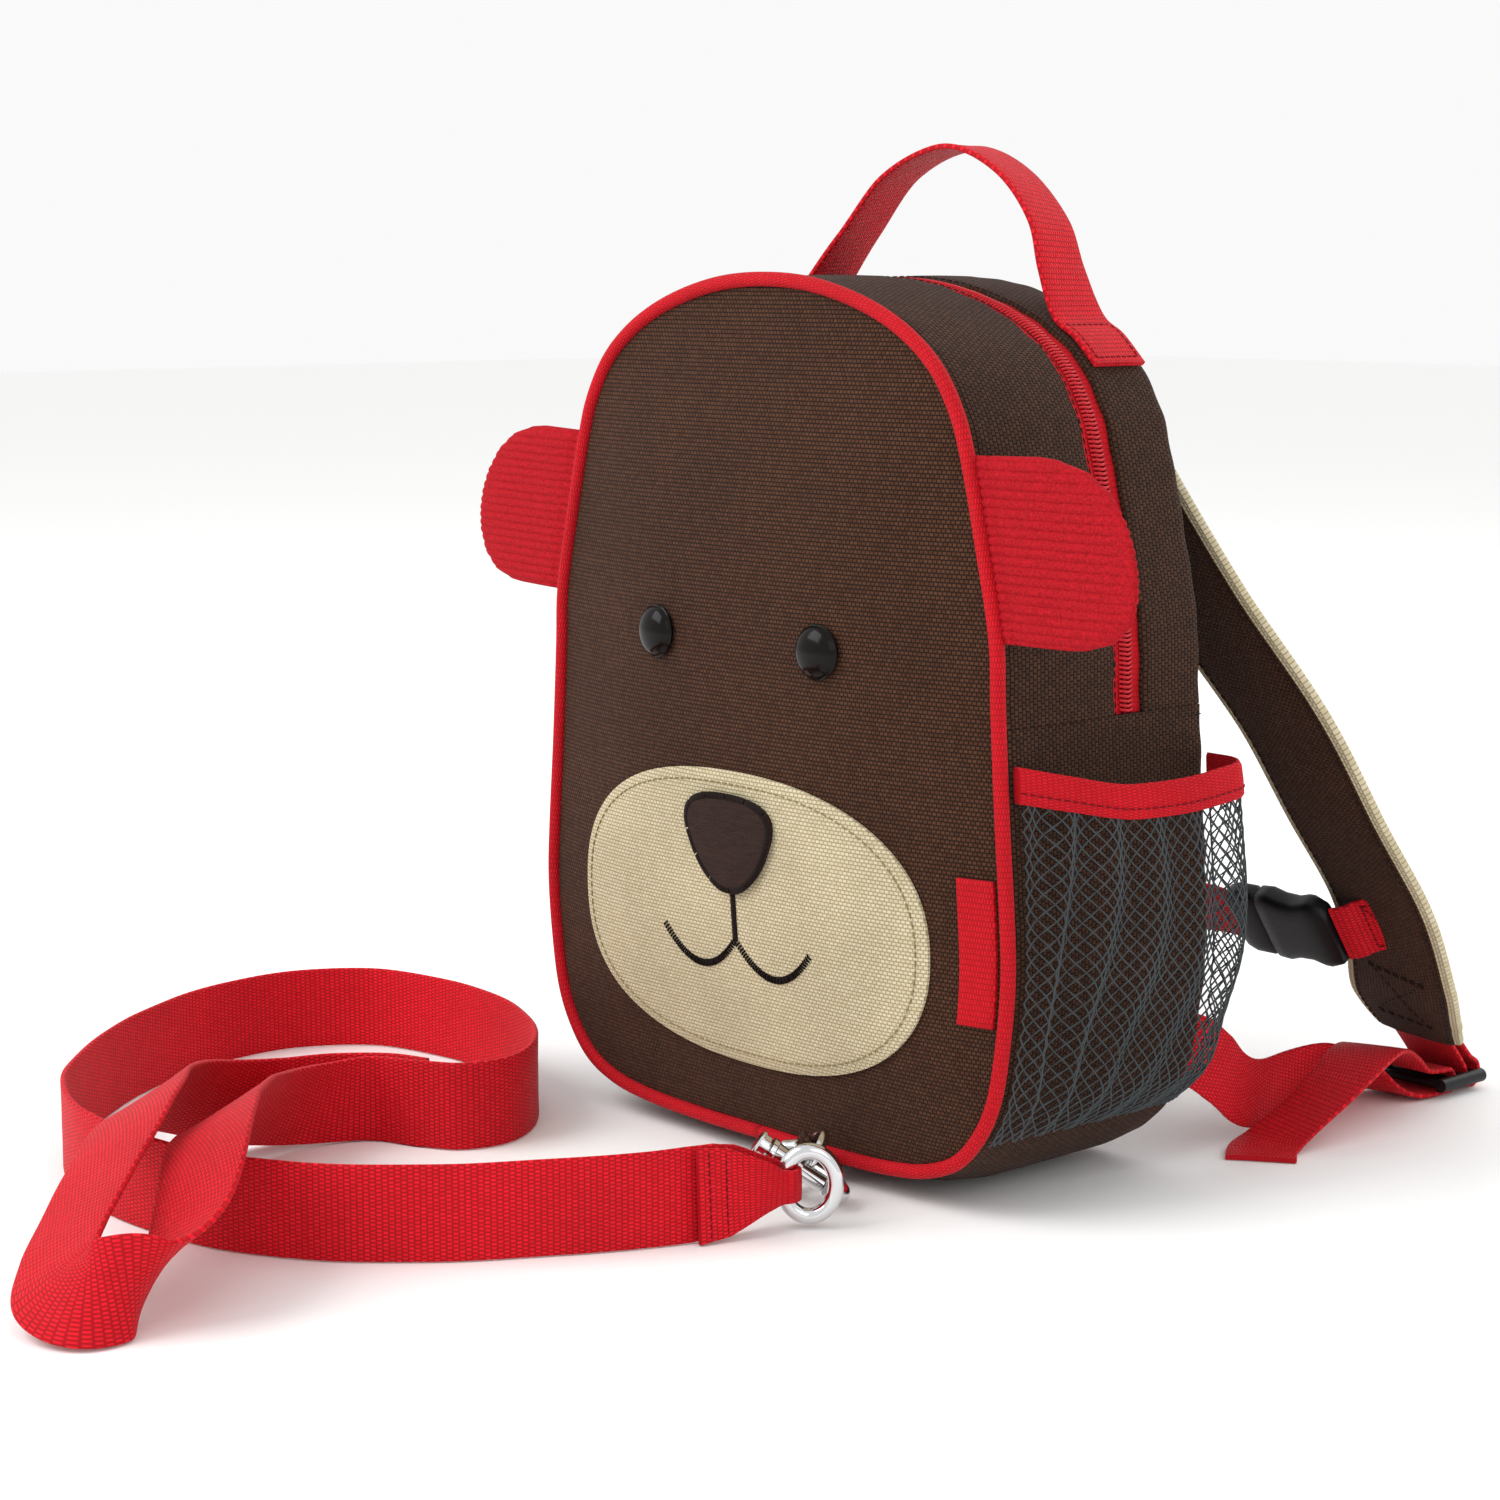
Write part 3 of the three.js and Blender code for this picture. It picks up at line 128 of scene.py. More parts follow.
# Curves and surfaces as arrays of points
def spline(points, shares, closed=False):
    """Points on a centripetal curve through the given ones, at shares of its count of spans."""
    base = np.array(points, float)
    count = len(base)
    spans = count if closed else count - 1
    place = np.clip(np.asarray(shares, float), 0, 1) * spans
    index = np.minimum(place.astype(int), spans - 1)
    weight = (place - index)[:, None]
    if closed:
        corners = [base[(index + k) % count] for k in (-1, 0, 1, 2)]
    else:
        longer = np.vstack([2 * base[0] - base[1], base, 2 * base[-1] - base[-2]])
        corners = [longer[index + k] for k in range(4)]
    gaps = [np.sqrt(np.linalg.norm(b - a, axis=1))[:, None] for a, b in zip(corners, corners[1:])]
    gaps = [np.maximum(gap, 1e-4) for gap in gaps]
    p0, p1, p2, p3 = corners
    d0, d1, d2 = gaps
    leave = ((p1 - p0) / d0 - (p2 - p0) / (d0 + d1) + (p2 - p1) / d1) * d1
    arrive = ((p2 - p1) / d1 - (p3 - p1) / (d1 + d2) + (p3 - p2) / d2) * d1
    square = -3 * p1 + 3 * p2 - 2 * leave - arrive
    cube = 2 * p1 - 2 * p2 + leave + arrive
    return p1 + leave * weight + square * weight**2 + cube * weight**3


def unit(vectors):
    vectors = np.asarray(vectors, float)
    return vectors / np.maximum(np.linalg.norm(vectors, axis=-1, keepdims=True), 1e-12)


def tangents(points, closed=False):
    if closed:
        return unit(np.roll(points, -1, 0) - np.roll(points, 1, 0))
    return unit(np.gradient(points, axis=0))


def headings(points):
    """The direction of a spline at each of the points that it is laid through."""
    shares = np.arange(len(points)) / (len(points) - 1)
    step = 1e-4
    return unit(spline(points, shares + step) - spline(points, shares - step))


def run_length(points):
    steps = np.linalg.norm(np.diff(points, axis=0), axis=1)
    return np.concatenate([[0], np.cumsum(steps)])


def at_lengths(wanted, length, line):
    """Points at the wanted lengths along a line whose own points lie at length."""
    return np.stack([np.interp(wanted, length, line[:, k]) for k in range(3)], 1)


def evenly(points, count):
    """Points at even steps round a closed line."""
    line = np.vstack([points, points[:1]])
    length = run_length(line)
    return at_lengths(np.linspace(0, length[-1], count, endpoint=False), length, line)


def smooth_table(rows, shares):
    """A smooth value at each share from (share, value) rows, with no overshoot."""
    rows = np.array(rows, float)
    slopes = np.gradient(rows[:, 1], rows[:, 0])
    steps = np.diff(rows[:, 1]) / np.diff(rows[:, 0])
    for k in range(1, len(rows) - 1):
        if steps[k - 1] * steps[k] <= 0:
            slopes[k] = 0
    shares = np.clip(np.asarray(shares, float), rows[0, 0], rows[-1, 0])
    index = np.clip(np.searchsorted(rows[:, 0], shares, "right") - 1, 0, len(rows) - 2)
    span = rows[index + 1, 0] - rows[index, 0]
    t = (shares - rows[index, 0]) / span
    start, end = rows[index, 1], rows[index + 1, 1]
    return (
        start * (2 * t**3 - 3 * t**2 + 1) + slopes[index] * span * (t**3 - 2 * t**2 + t)
        + end * (3 * t**2 - 2 * t**3) + slopes[index + 1] * span * (t**3 - t**2)
    )


# Half the bag's outline from the middle of the base: share of half the width, share of the height
OUTLINE = [
    (0, 0), (0.3, 0), (0.529, 0.004), (0.682, 0.0135), (0.806, 0.0345), (0.892, 0.07), (0.95, 0.115),
    (0.986, 0.19), (1, 0.262), (0.993, 0.321), (0.97, 0.43), (0.95, 0.55), (0.942, 0.615),
    (0.885, 0.72), (0.823, 0.816), (0.79, 0.852), (0.711, 0.901), (0.6, 0.938), (0.45, 0.968),
    (0.22, 0.993), (0, 1),
]
right_side = [(out * BAG_WIDTH / 2, 0, FLOOR_CLEARANCE + up * BAG_HEIGHT) for out, up in OUTLINE]
left_side = [(-x, y, z) for x, y, z in reversed(right_side[1:-1])]
OUTLINE_COUNT = 1600
outline = evenly(spline(right_side + left_side, np.linspace(0, 1, 6000)[:-1], True), OUTLINE_COUNT)
outline_run = np.roll(outline, -5, 0) - np.roll(outline, 5, 0)
outline_inward = unit(np.stack([-outline_run[:, 2], 0 * outline_run[:, 0], outline_run[:, 0]], 1))
OUTLINE_LENGTH = run_length(np.vstack([outline, outline[:1]]))[-1]


def outline_at(shares, inset, y=0.0):
    """Points on the bag's outline, anticlockwise from the bottom, drawn in by inset."""
    shares, inset, y = np.broadcast_arrays(np.asarray(shares, float), inset, y)
    place = (shares % 1) * OUTLINE_COUNT
    index = place.astype(int) % OUTLINE_COUNT
    after = (index + 1) % OUTLINE_COUNT
    weight = (place - np.floor(place))[..., None]
    point = outline[index] * (1 - weight) + outline[after] * weight
    point = point + outline_inward[index] * inset[..., None]
    point[..., 1] = y
    return point


def share_at_height(height):
    half = outline[: OUTLINE_COUNT // 2, 2]
    return float(np.interp(height, half, np.arange(len(half)) / OUTLINE_COUNT))


def half_width_at(height):
    half = outline[: OUTLINE_COUNT // 2]
    widest = int(np.argmax(half[:, 0]))
    low = np.interp(height, half[:widest, 2], half[:widest, 0])
    high = np.interp(height, half[widest:, 2], half[widest:, 0])
    return np.where(np.asarray(height) < half[widest, 2], low, high)


PANEL_CENTRE = FLOOR_CLEARANCE + BAG_HEIGHT / 2
PANEL_INSET = 2 * PIPING_RADIUS + 2 * FIT_GAP


def panel_reach(angle, inset):
    """How far the outline, drawn in by inset, lies from the middle of the bag, by the angle from below."""
    ring = outline_at(np.linspace(0, 1, OUTLINE_COUNT, endpoint=False), inset)
    angles = np.arctan2(ring[:, 0], -(ring[:, 2] - PANEL_CENTRE))
    reach = np.hypot(ring[:, 0], ring[:, 2] - PANEL_CENTRE)
    order = np.argsort(angles)
    return np.interp(angle, angles[order], reach[order], period=2 * math.pi)


def crown(share):
    """The share of a panel's bulge that is left at a share of the way out to its edge."""
    return 1 - np.clip(share, 0, 1) ** 2.4


def front_surface(x, z):
    up = z - PANEL_CENTRE
    share = np.hypot(x, up) / panel_reach(np.arctan2(x, -up), PANEL_INSET)
    return FRONT_SEAM - FRONT_BULGE * crown(share)


# Meshes
SHARP = math.radians(48)
# In metres: points closer than this are one, and edges shorter than this are dropped
DOUBLES = 2e-6
SLIVERS = 1e-7


def finish_mesh(name, verts, faces, uvs, materials, face_material=None):
    """An object with a UV for each vertex, smooth but for its sharp edges, and with its faces outwards."""
    mesh = bpy.data.meshes.new(name)
    mesh.from_pydata((np.asarray(verts, float) * MM).tolist(), [], faces)
    layer = mesh.uv_layers.new(name="UVMap")
    corner_verts = np.empty(len(mesh.loops), int)
    mesh.loops.foreach_get("vertex_index", corner_verts)
    layer.data.foreach_set("uv", np.asarray(uvs, float)[corner_verts].ravel())
    for material in materials:
        mesh.materials.append(material)
    if face_material is not None:
        mesh.polygons.foreach_set("material_index", np.asarray(face_material, int))
    mesh.polygons.foreach_set("use_smooth", np.full(len(mesh.polygons), True))
    work = bmesh.new()
    work.from_mesh(mesh)
    bmesh.ops.remove_doubles(work, verts=work.verts, dist=DOUBLES)
    bmesh.ops.dissolve_degenerate(work, edges=work.edges, dist=SLIVERS)
    bmesh.ops.recalc_face_normals(work, faces=work.faces)
    for edge in work.edges:
        edge.smooth = edge.calc_face_angle(0.0) < SHARP
    work.to_mesh(mesh)
    work.free()
    piece = bpy.data.objects.new(name, mesh)
    bpy.context.scene.collection.objects.link(piece)
    return piece


def dress(piece, slot, *replaced, body=BODY):
    """Seats a finished piece on its body, in place of CAD nodes; the slot is not used."""
    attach(piece, body)
    if replaced:
        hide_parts(*replaced)
    return piece


def slab(name, outer, inner, uv, material, looped=False):
    """A closed wall between two grids of points, outer[i, j] and inner[i, j]."""
    rows, columns = outer.shape[:2]
    verts = np.concatenate([outer.reshape(-1, 3), inner.reshape(-1, 3)])
    uvs = np.concatenate([uv.reshape(-1, 2)] * 2)
    back = rows * columns
    faces = []
    last = rows if looped else rows - 1
    for i in range(last):
        n = (i + 1) % rows
        for j in range(columns - 1):
            a, b, c, d = i * columns + j, n * columns + j, n * columns + j + 1, i * columns + j + 1
            faces.append((a, b, c, d))
            faces.append((back + d, back + c, back + b, back + a))
        for j, turn in ((0, 1), (columns - 1, -1)):
            strip = (n * columns + j, i * columns + j, back + i * columns + j, back + n * columns + j)
            faces.append(strip[::turn])
    if not looped:
        for i in (0, rows - 1):
            for j in range(columns - 1):
                a, b = i * columns + j, i * columns + j + 1
                faces.append((a, b, back + b, back + a))
    return finish_mesh(name, verts, faces, uvs, [material])


def sweep(name, rings, uv, materials, looped=False, marks=None):
    """A closed tube through rings of points; marks give each side's material."""
    count, sides = rings.shape[:2]
    verts = rings.reshape(-1, 3)
    faces = []
    shades = []
    last = count if looped else count - 1
    for i in range(last):
        n = (i + 1) % count
        for k in range(sides):
            m = (k + 1) % sides
            faces.append((i * sides + k, i * sides + m, n * sides + m, n * sides + k))
            shades.append(marks[k] if marks else 0)
    if not looped:
        faces.append(tuple(range(sides)))
        faces.append(tuple(reversed(range((count - 1) * sides, count * sides))))
        shades += [0, 0]
    return finish_mesh(name, verts, faces, uv.reshape(-1, 2), materials, shades)


MOULDING_SIDES = 28


def moulding(name, stations, place, material):
    """A rounded block lofted through stations of (place along it, half width, half thickness)."""
    angles = 2 * np.pi * (np.arange(MOULDING_SIDES) + 0.5) / MOULDING_SIDES
    c, s = np.cos(angles), np.sin(angles)
    rings = []
    for along, wide, thick in stations:
        a = np.sign(c) * np.abs(c) ** 0.35 * wide
        b = np.sign(s) * np.abs(s) ** 0.45 * thick
        rings.append([place(along, p, q) for p, q in zip(a, b)])
    rings = np.array(rings)
    return sweep(name, rings, rings[..., [0, 2]], [material])


def join(name, pieces):
    """One object from several of one material, all at the origin."""
    target = bpy.data.meshes.new(name)
    target.materials.append(pieces[0].data.materials[0])
    work = bmesh.new()
    for piece in pieces:
        work.from_mesh(piece.data)
        bpy.data.objects.remove(piece)
    work.to_mesh(target)
    work.free()
    joined = bpy.data.objects.new(name, target)
    bpy.context.scene.collection.objects.link(joined)
    return joined


def wire_rings(points, radius, sides, looped, start):
    """Rings of a round wire, carried along its path without twist."""
    run = tangents(points, looped)
    side = np.array(start, float)
    angles = 2 * np.pi * np.arange(sides) / sides
    rings = []
    radii = np.broadcast_to(radius, len(points))
    for point, tangent, size in zip(points, run, radii):
        side = unit(side - tangent * side.dot(tangent))
        other = np.cross(tangent, side)
        rings.append(point + size * (np.cos(angles)[:, None] * side + np.sin(angles)[:, None] * other))
    return np.array(rings)


def ring_uv(points, sides, around):
    """A UV in millimetres for each ring: the length along the wire, and the way round it."""
    length = run_length(points)
    uv = np.zeros((len(points), sides, 2))
    uv[..., 0] = length[:, None]
    uv[..., 1] = around * np.arange(sides) / sides
    return uv


def wire(name, points, radius, sides, material, looped=False, start=UP):
    uv = ring_uv(points, sides, 2 * math.pi * float(np.max(radius)))
    return sweep(name, wire_rings(points, radius, sides, looped, start), uv, [material], looped)


def web_lines(rows, steps):
    """The middle line, width direction, face direction and width of a webbing run."""
    shares = np.linspace(0, 1, steps + 1)
    middle = spline([row[0] for row in rows], shares)
    across = spline([row[1] for row in rows], shares)
    run = tangents(middle)
    across = unit(across - run * np.sum(across * run, 1, keepdims=True))
    face = np.cross(run, across)
    places = shares * (len(rows) - 1)
    width = np.interp(places, np.arange(len(rows)), [row[2] for row in rows])
    return middle, across, face, width


# The upper half of a webbing's section: share of half the width, share of half the thickness
WEB_SECTION = [
    (-1, 0.35), (-0.985, 0.82), (-0.95, 1), (-0.5, 0.97), (0, 1), (0.5, 0.97), (0.95, 1), (0.985, 0.82),
    (1, 0.35),
]


def whole_section(upper):
    """A closed section from its upper half."""
    return upper + [(across, -lift) for across, lift in reversed(upper)]


def webbing(name, rows, thickness, steps, material, curl=0.0):
    """Woven tape, whose edges curl by up to curl; UV runs along it and across it in millimetres."""
    middle, across, face, width = web_lines(rows, steps)
    length = run_length(middle)
    ripple = curl * np.sin(length / 7.3) * np.sin(length / 19.0 + 1)
    rings = []
    uv = []
    for a, b in whole_section(WEB_SECTION):
        lift = b * thickness / 2 + ripple * (abs(a) > 0.9)
        rings.append(middle + across * (a * width / 2)[:, None] + face * lift[:, None])
        uv.append(np.stack([length, np.full(len(length), 50 + a * width.max() / 2)], 1))
    return sweep(name, np.stack(rings, 1), np.stack(uv, 1), [material])


# Materials. Noise scales are cells a metre
CLOTH_SHADE = 26.0
FIBRE_ENDS = 2600.0
MOULD_GRAIN = 900.0
POLISH_WAVE = 220.0
PILE_FUZZ = 1500.0


def linear(code):
    """A linear colour from an sRGB hex code."""
    values = [int(code[k:k + 2], 16) / 255 for k in (1, 3, 5)]
    return [v / 12.92 if v <= 0.04045 else ((v + 0.055) / 1.055) ** 2.4 for v in values] + [1.0]


def add(tree, kind, inputs=None, **settings):
    """Adds a node with its settings and links, and returns its outputs."""
    node = tree.nodes.new(kind)
    for key, value in settings.items():
        setattr(node, key, value)
    for key, value in (inputs or {}).items():
        if isinstance(value, bpy.types.NodeSocket):
            tree.links.new(value, node.inputs[key])
        else:
            node.inputs[key].default_value = value
    return node.outputs


def start_material(name, sockets):
    """A material with values set on its shader; returns it with its node tree and its shader."""
    material = bpy.data.materials.new(name)
    material.use_nodes = True
    tree = material.node_tree
    shader = tree.nodes["Principled BSDF"]
    for key, value in sockets.items():
        shader.inputs[key].default_value = value
    return material, tree, shader


def woven(name, light, thread, gap, float_length, thread_width, roughness, relief, sheen=0.04, turn=0.0):
    """Woven cloth: short floats of thread in offset rows, from the piece's UV map in millimetres."""
    material, tree, shader = start_material(name, {
        "Roughness": roughness, "Sheen Weight": sheen, "Sheen Roughness": 0.4, "Specular IOR Level": 0.12,
    })
    flat = add(tree, "ShaderNodeUVMap", uv_map="UVMap")[0]
    turned = add(tree, "ShaderNodeMapping", {0: flat, "Rotation": (0, 0, math.radians(turn))})[0]
    bricks = add(tree, "ShaderNodeTexBrick", {
        "Vector": turned, "Color1": linear(light), "Color2": linear(thread), "Mortar": linear(gap),
        "Scale": 1.0, "Mortar Size": thread_width * 0.26, "Mortar Smooth": 1.0, "Bias": 0.0,
        "Brick Width": float_length, "Row Height": thread_width,
    }, offset=0.5, squash=1.0)
    place = add(tree, "ShaderNodeTexCoord")[3]
    cloud = add(tree, "ShaderNodeTexNoise", {"Vector": place, "Scale": CLOTH_SHADE, "Detail": 3.0})[0]
    shade = add(tree, "ShaderNodeMapRange", {
        "Value": cloud, "From Min": 0.3, "From Max": 0.7, "To Min": 0.9, "To Max": 1.08,
    })[0]
    tinted = add(tree, "ShaderNodeMix", {"Factor": 1.0, 6: bricks[0], 7: shade}, data_type="RGBA",
                 blend_type="MULTIPLY")[2]
    tree.links.new(tinted, shader.inputs["Base Color"])
    fluff = add(tree, "ShaderNodeTexNoise", {"Vector": place, "Scale": FIBRE_ENDS, "Detail": 2.0})[0]
    raised = add(tree, "ShaderNodeMath", {0: bricks[1], 1: -3.0, 2: fluff}, operation="MULTIPLY_ADD")[0]
    bump = add(tree, "ShaderNodeBump", {"Height": raised, "Strength": 0.7, "Distance": relief / 3 * MM})[0]
    tree.links.new(bump, shader.inputs["Normal"])
    return material


def grain(tree, shader, scale, least, most, strength, depth):
    """Unevenness in the gloss, from the least roughness to the most, and in the surface, depth mm deep."""
    place = add(tree, "ShaderNodeTexCoord")[3]
    noise = add(tree, "ShaderNodeTexNoise", {"Vector": place, "Scale": scale, "Detail": 3.0})[0]
    rough = add(tree, "ShaderNodeMapRange", {"Value": noise, "To Min": least, "To Max": most})[0]
    tree.links.new(rough, shader.inputs["Roughness"])
    bump = add(tree, "ShaderNodeBump", {"Height": noise, "Strength": strength, "Distance": depth * MM})[0]
    tree.links.new(bump, shader.inputs["Normal"])


def moulded(name, code, roughness, depth, specular=0.28):
    """Injection-moulded plastic: even colour with a fine grain in the gloss."""
    material, tree, shader = start_material(name, {
        "Roughness": roughness, "Base Color": linear(code), "Specular IOR Level": specular,
    })
    grain(tree, shader, MOULD_GRAIN, roughness * 0.8, roughness * 1.3, 0.3, depth)
    return material


def plated(name, code, roughness):
    """Nickel-plated zinc: a bright mirror with faint polishing waviness."""
    material, tree, shader = start_material(name, {
        "Roughness": roughness, "Metallic": 1.0, "Base Color": linear(code),
    })
    grain(tree, shader, POLISH_WAVE, roughness * 0.5, roughness * 2, 0.12, 0.05)
    return material


def pile(name, code, deep):
    """Ribbed cord pile: short fuzz that catches light at its edges."""
    material, tree, shader = start_material(name, {
        "Roughness": 0.95, "Sheen Weight": 0.12, "Sheen Roughness": 0.35, "Sheen Tint": linear(code),
        "Specular IOR Level": 0.15,
    })
    place = add(tree, "ShaderNodeTexCoord")[3]
    fuzz = add(tree, "ShaderNodeTexNoise", {"Vector": place, "Scale": PILE_FUZZ, "Detail": 4.0})[0]
    ramp = add(tree, "ShaderNodeMapRange", {"Value": fuzz, "From Min": 0.3, "From Max": 0.7})[0]
    # Painted shade: the colour is the darker red where the fuzz bump is low, between the fibre ends
    colours = {"Factor": ramp, 6: linear(deep), 7: linear(code)}
    blend = add(tree, "ShaderNodeMix", colours, data_type="RGBA")[2]
    tree.links.new(blend, shader.inputs["Base Color"])
    bump = add(tree, "ShaderNodeBump", {"Height": fuzz, "Strength": 0.8, "Distance": 0.35 * MM})[0]
    tree.links.new(bump, shader.inputs["Normal"])
    return material


# Woven cloths: colours of the lit thread, the thread and the gap, then float length, thread width, roughness
# and relief. Real threads are 0.3 to 0.5 mm, and most are drawn coarser so that they show.
# Polyester packcloth, dobby woven: dull brown with a pale dot on each thread
BROWN = woven("woven_polyester_brown", "#543524", "#452818", "#160a05", 1.35, 1.15, 0.75, 0.4)
# The same cloth sewn across the weave on the gussets, in a darker copy whose colour is painted shade for the
# gusset sides
GUSSET = woven("woven_polyester_brown_gusset_painted_shade", "#4e3020", "#3d2416", "#0f0703", 1.6, 1.35, 0.75, 0.45)
# Cotton canvas in a basket weave: soft, matte, unbleached
CANVAS = woven("basket_weave_canvas", "#d3c7aa", "#c6b998", "#9f9271", 1.5, 1.05, 0.85, 0.3)
# Nylon webbing: dyed red, with short crosswise floats and a slight sheen
WEB = woven("woven_nylon_webbing_red", "#ea1a2a", "#d61523", "#a00b17", 1.05, 1.6, 0.62, 0.26, 0.03, 90.0)
# Narrow woven tape over a cord: fine crosswise ribs
TAPE = woven("woven_tape_red", "#da1827", "#c81320", "#a10c17", 0.8, 1.5, 0.68, 0.18, 0.02, 90.0)
# Embroidered twill of the nose and mouth: near black brown in fine, close rows
FELT = woven("embroidered_twill_dark_brown", "#3a261f", "#2d1c17", "#1a0f0c", 3.2, 0.5, 0.6, 0.2)
# Knitted polyester net: grey threads with a dull, slightly lighter upper side
NET = woven("knitted_net_thread_grey", "#7f8485", "#646a6c", "#44484a", 1.0, 0.4, 0.6, 0.15)
# Wide-wale cord of the ears: deep red fuzz, with painted shade between its ends, where the colour goes to the
# darker red as the fuzz bump goes low
PILE = pile("ribbed_cord_pile_red", "#b91723", "#8c0e17")
# Spun polyester sewing threads: a shade darker than the cloth, so that each stitch reads
THREAD_BROWN = woven("sewing_thread_brown", "#4a332a", "#3b271f", "#22150f", 0.6, 0.3, 0.6, 0.05)
THREAD_CREAM = woven("sewing_thread_cream", "#bcae88", "#ab9c75", "#8b7d58", 0.6, 0.3, 0.6, 0.05)
THREAD_RED = woven("sewing_thread_red", "#b50f24", "#9c0c1e", "#6b0713", 0.6, 0.3, 0.6, 0.05)
# Nylon zip coil: smooth red monofilament with small highlights
COIL = moulded("moulded_nylon_coil_red", "#c21220", 0.4, 0.02)
# Acetal buckles: black, satin from the mould
ACETAL = moulded("moulded_acetal_black", "#0b0b0d", 0.42, 0.05)
# Domed snap caps: glossy enamel over brass, nearly black brown
CAP = moulded("enamelled_cap_dark", "#0b0605", 0.16, 0.004, 0.16)
# Nickel plating on the hook, ring and slider: bright and cool, with soft reflections
NICKEL = plated("nickel_plated_zinc", "#d6d7d9", 0.09)


# Stitches, coils and net threads repeat along lines by Geometry Nodes. A stitch is its pitch, its length and
# the thickness of its thread
WEB_STITCH = (2.2, 1.9, 0.5)
CHEST_STITCH = (2.0, 1.7, 0.5)
PATCH_STITCH = (2.6, 2.2, 0.5)
STRAP_STITCH = (2.8, 2.3, 0.5)
BINDING_STITCH = (2.3, 2.0, 0.45)
TOPSTITCH = (2.7, 2.2, 0.45)
THREAD_LIFT = 0.05


def curve_object(name, lines):
    data = bpy.data.curves.new(name, "CURVE")
    data.dimensions = "3D"
    for line in lines:
        run = data.splines.new("POLY")
        run.points.add(len(line) - 1)
        run.points.foreach_set("co", np.column_stack([np.asarray(line) * MM, np.ones(len(line))]).ravel())
    piece = bpy.data.objects.new(name, data)
    bpy.context.scene.collection.objects.link(piece)
    return piece


def new_tree(name, sizes):
    tree = bpy.data.node_groups.new(name, "GeometryNodeTree")
    tree.interface.new_socket("Geometry", in_out="INPUT", socket_type="NodeSocketGeometry")
    tree.interface.new_socket("Geometry", in_out="OUTPUT", socket_type="NodeSocketGeometry")
    for key in sizes:
        tree.interface.new_socket(key, in_out="INPUT", socket_type="NodeSocketFloat")
    return tree


def end_tree(tree, geometry, material):
    """Ends a tree in a plain, smooth mesh with its material."""
    solid = add(tree, "GeometryNodeRealizeInstances", {0: geometry})[0]
    smooth = add(tree, "GeometryNodeSetShadeSmooth", {0: solid})[0]
    shown = add(tree, "GeometryNodeSetMaterial", {0: smooth, "Material": material})[0]
    add(tree, "NodeGroupOutput", {0: shown})


def run_tree(source, tree, values, name):
    """Applies a tree to an object and returns the plain mesh that it makes."""
    modifier = source.modifiers.new("nodes", "NODES")
    modifier.node_group = tree
    for item in tree.interface.items_tree:
        if item.name in values and item.in_out == "INPUT":
            modifier[item.identifier] = values[item.name]
    graph = bpy.context.evaluated_depsgraph_get()
    mesh = bpy.data.meshes.new_from_object(source.evaluated_get(graph))
    mesh.name = name
    bpy.data.objects.remove(source)
    piece = bpy.data.objects.new(name, mesh)
    bpy.context.scene.collection.objects.link(piece)
    return piece


def stitches(name, lines, stitch, material):
    """Rows of sewn stitches, one rounded thread a pitch, along lines."""
    pitch, length, thickness = stitch
    tree = new_tree(name + "_tree", ["Pitch", "Length", "Thickness"])
    source = add(tree, "NodeGroupInput")
    points = add(tree, "GeometryNodeCurveToPoints", {"Curve": source["Geometry"], "Length": source["Pitch"]},
                 mode="LENGTH")
    turn = add(tree, "FunctionNodeAlignRotationToVector", {"Vector": points["Tangent"]}, axis="Z")[0]
    bead = add(tree, "GeometryNodeMeshUVSphere", {"Segments": 6, "Rings": 4, "Radius": 1.0})[0]
    thread = source["Thickness"]
    size = add(tree, "ShaderNodeCombineXYZ", {0: thread, 1: thread, 2: source["Length"]})[0]
    placed = add(tree, "GeometryNodeInstanceOnPoints", {
        "Points": points["Points"], "Instance": bead, "Rotation": turn, "Scale": size,
    })[0]
    end_tree(tree, placed, material)
    values = {"Pitch": pitch * MM, "Length": length / 2 * MM, "Thickness": thickness / 2 * MM}
    return run_tree(curve_object(name + "_lines", lines), tree, values, name)


def threads(name, lines, radius, sides, material):
    """Round threads along lines."""
    tree = new_tree(name + "_tree", ["Radius"])
    source = add(tree, "NodeGroupInput")
    circle = {"Resolution": sides, "Radius": source["Radius"]}
    section = add(tree, "GeometryNodeCurvePrimitiveCircle", circle)[0]
    tube = add(tree, "GeometryNodeCurveToMesh", {0: source["Geometry"], 1: section, "Fill Caps": True})[0]
    end_tree(tree, tube, material)
    return run_tree(curve_object(name + "_lines", lines), tree, {"Radius": radius * MM}, name)


def sewn(web, lift, corners):
    """A line of stitching over a web's face, through corners of (place along it, share of half its width)."""
    middle, across, face, width = web
    length = run_length(middle)
    sides = len(corners) - 1
    steps = np.linspace(0, sides, 24 * sides + 1)
    places, shares = (np.interp(steps, np.arange(len(corners)), column) for column in zip(*corners))
    centre = at_lengths(places, length, middle + face * lift)
    reach = at_lengths(places, length, across * width[:, None] / 2)
    return centre + reach * shares[:, None]


def box(low, high, reach):
    """Corners of a closed box of stitching, for sewn."""
    return [(low, -reach), (low, reach), (high, reach), (high, -reach), (low, -reach)]


# The leash
def leash_rows():
    points = np.array([row[:3] for row in LEASH_ROUTE], float)
    left = unit(np.cross(UP, headings(points)))
    lean = np.radians([row[3] for row in LEASH_ROUTE])[:, None]
    across = UP * np.cos(lean) + left * np.sin(lean)
    return [(p, a, row[4] * LEASH_WIDTH) for p, a, row in zip(points, across, LEASH_ROUTE)]


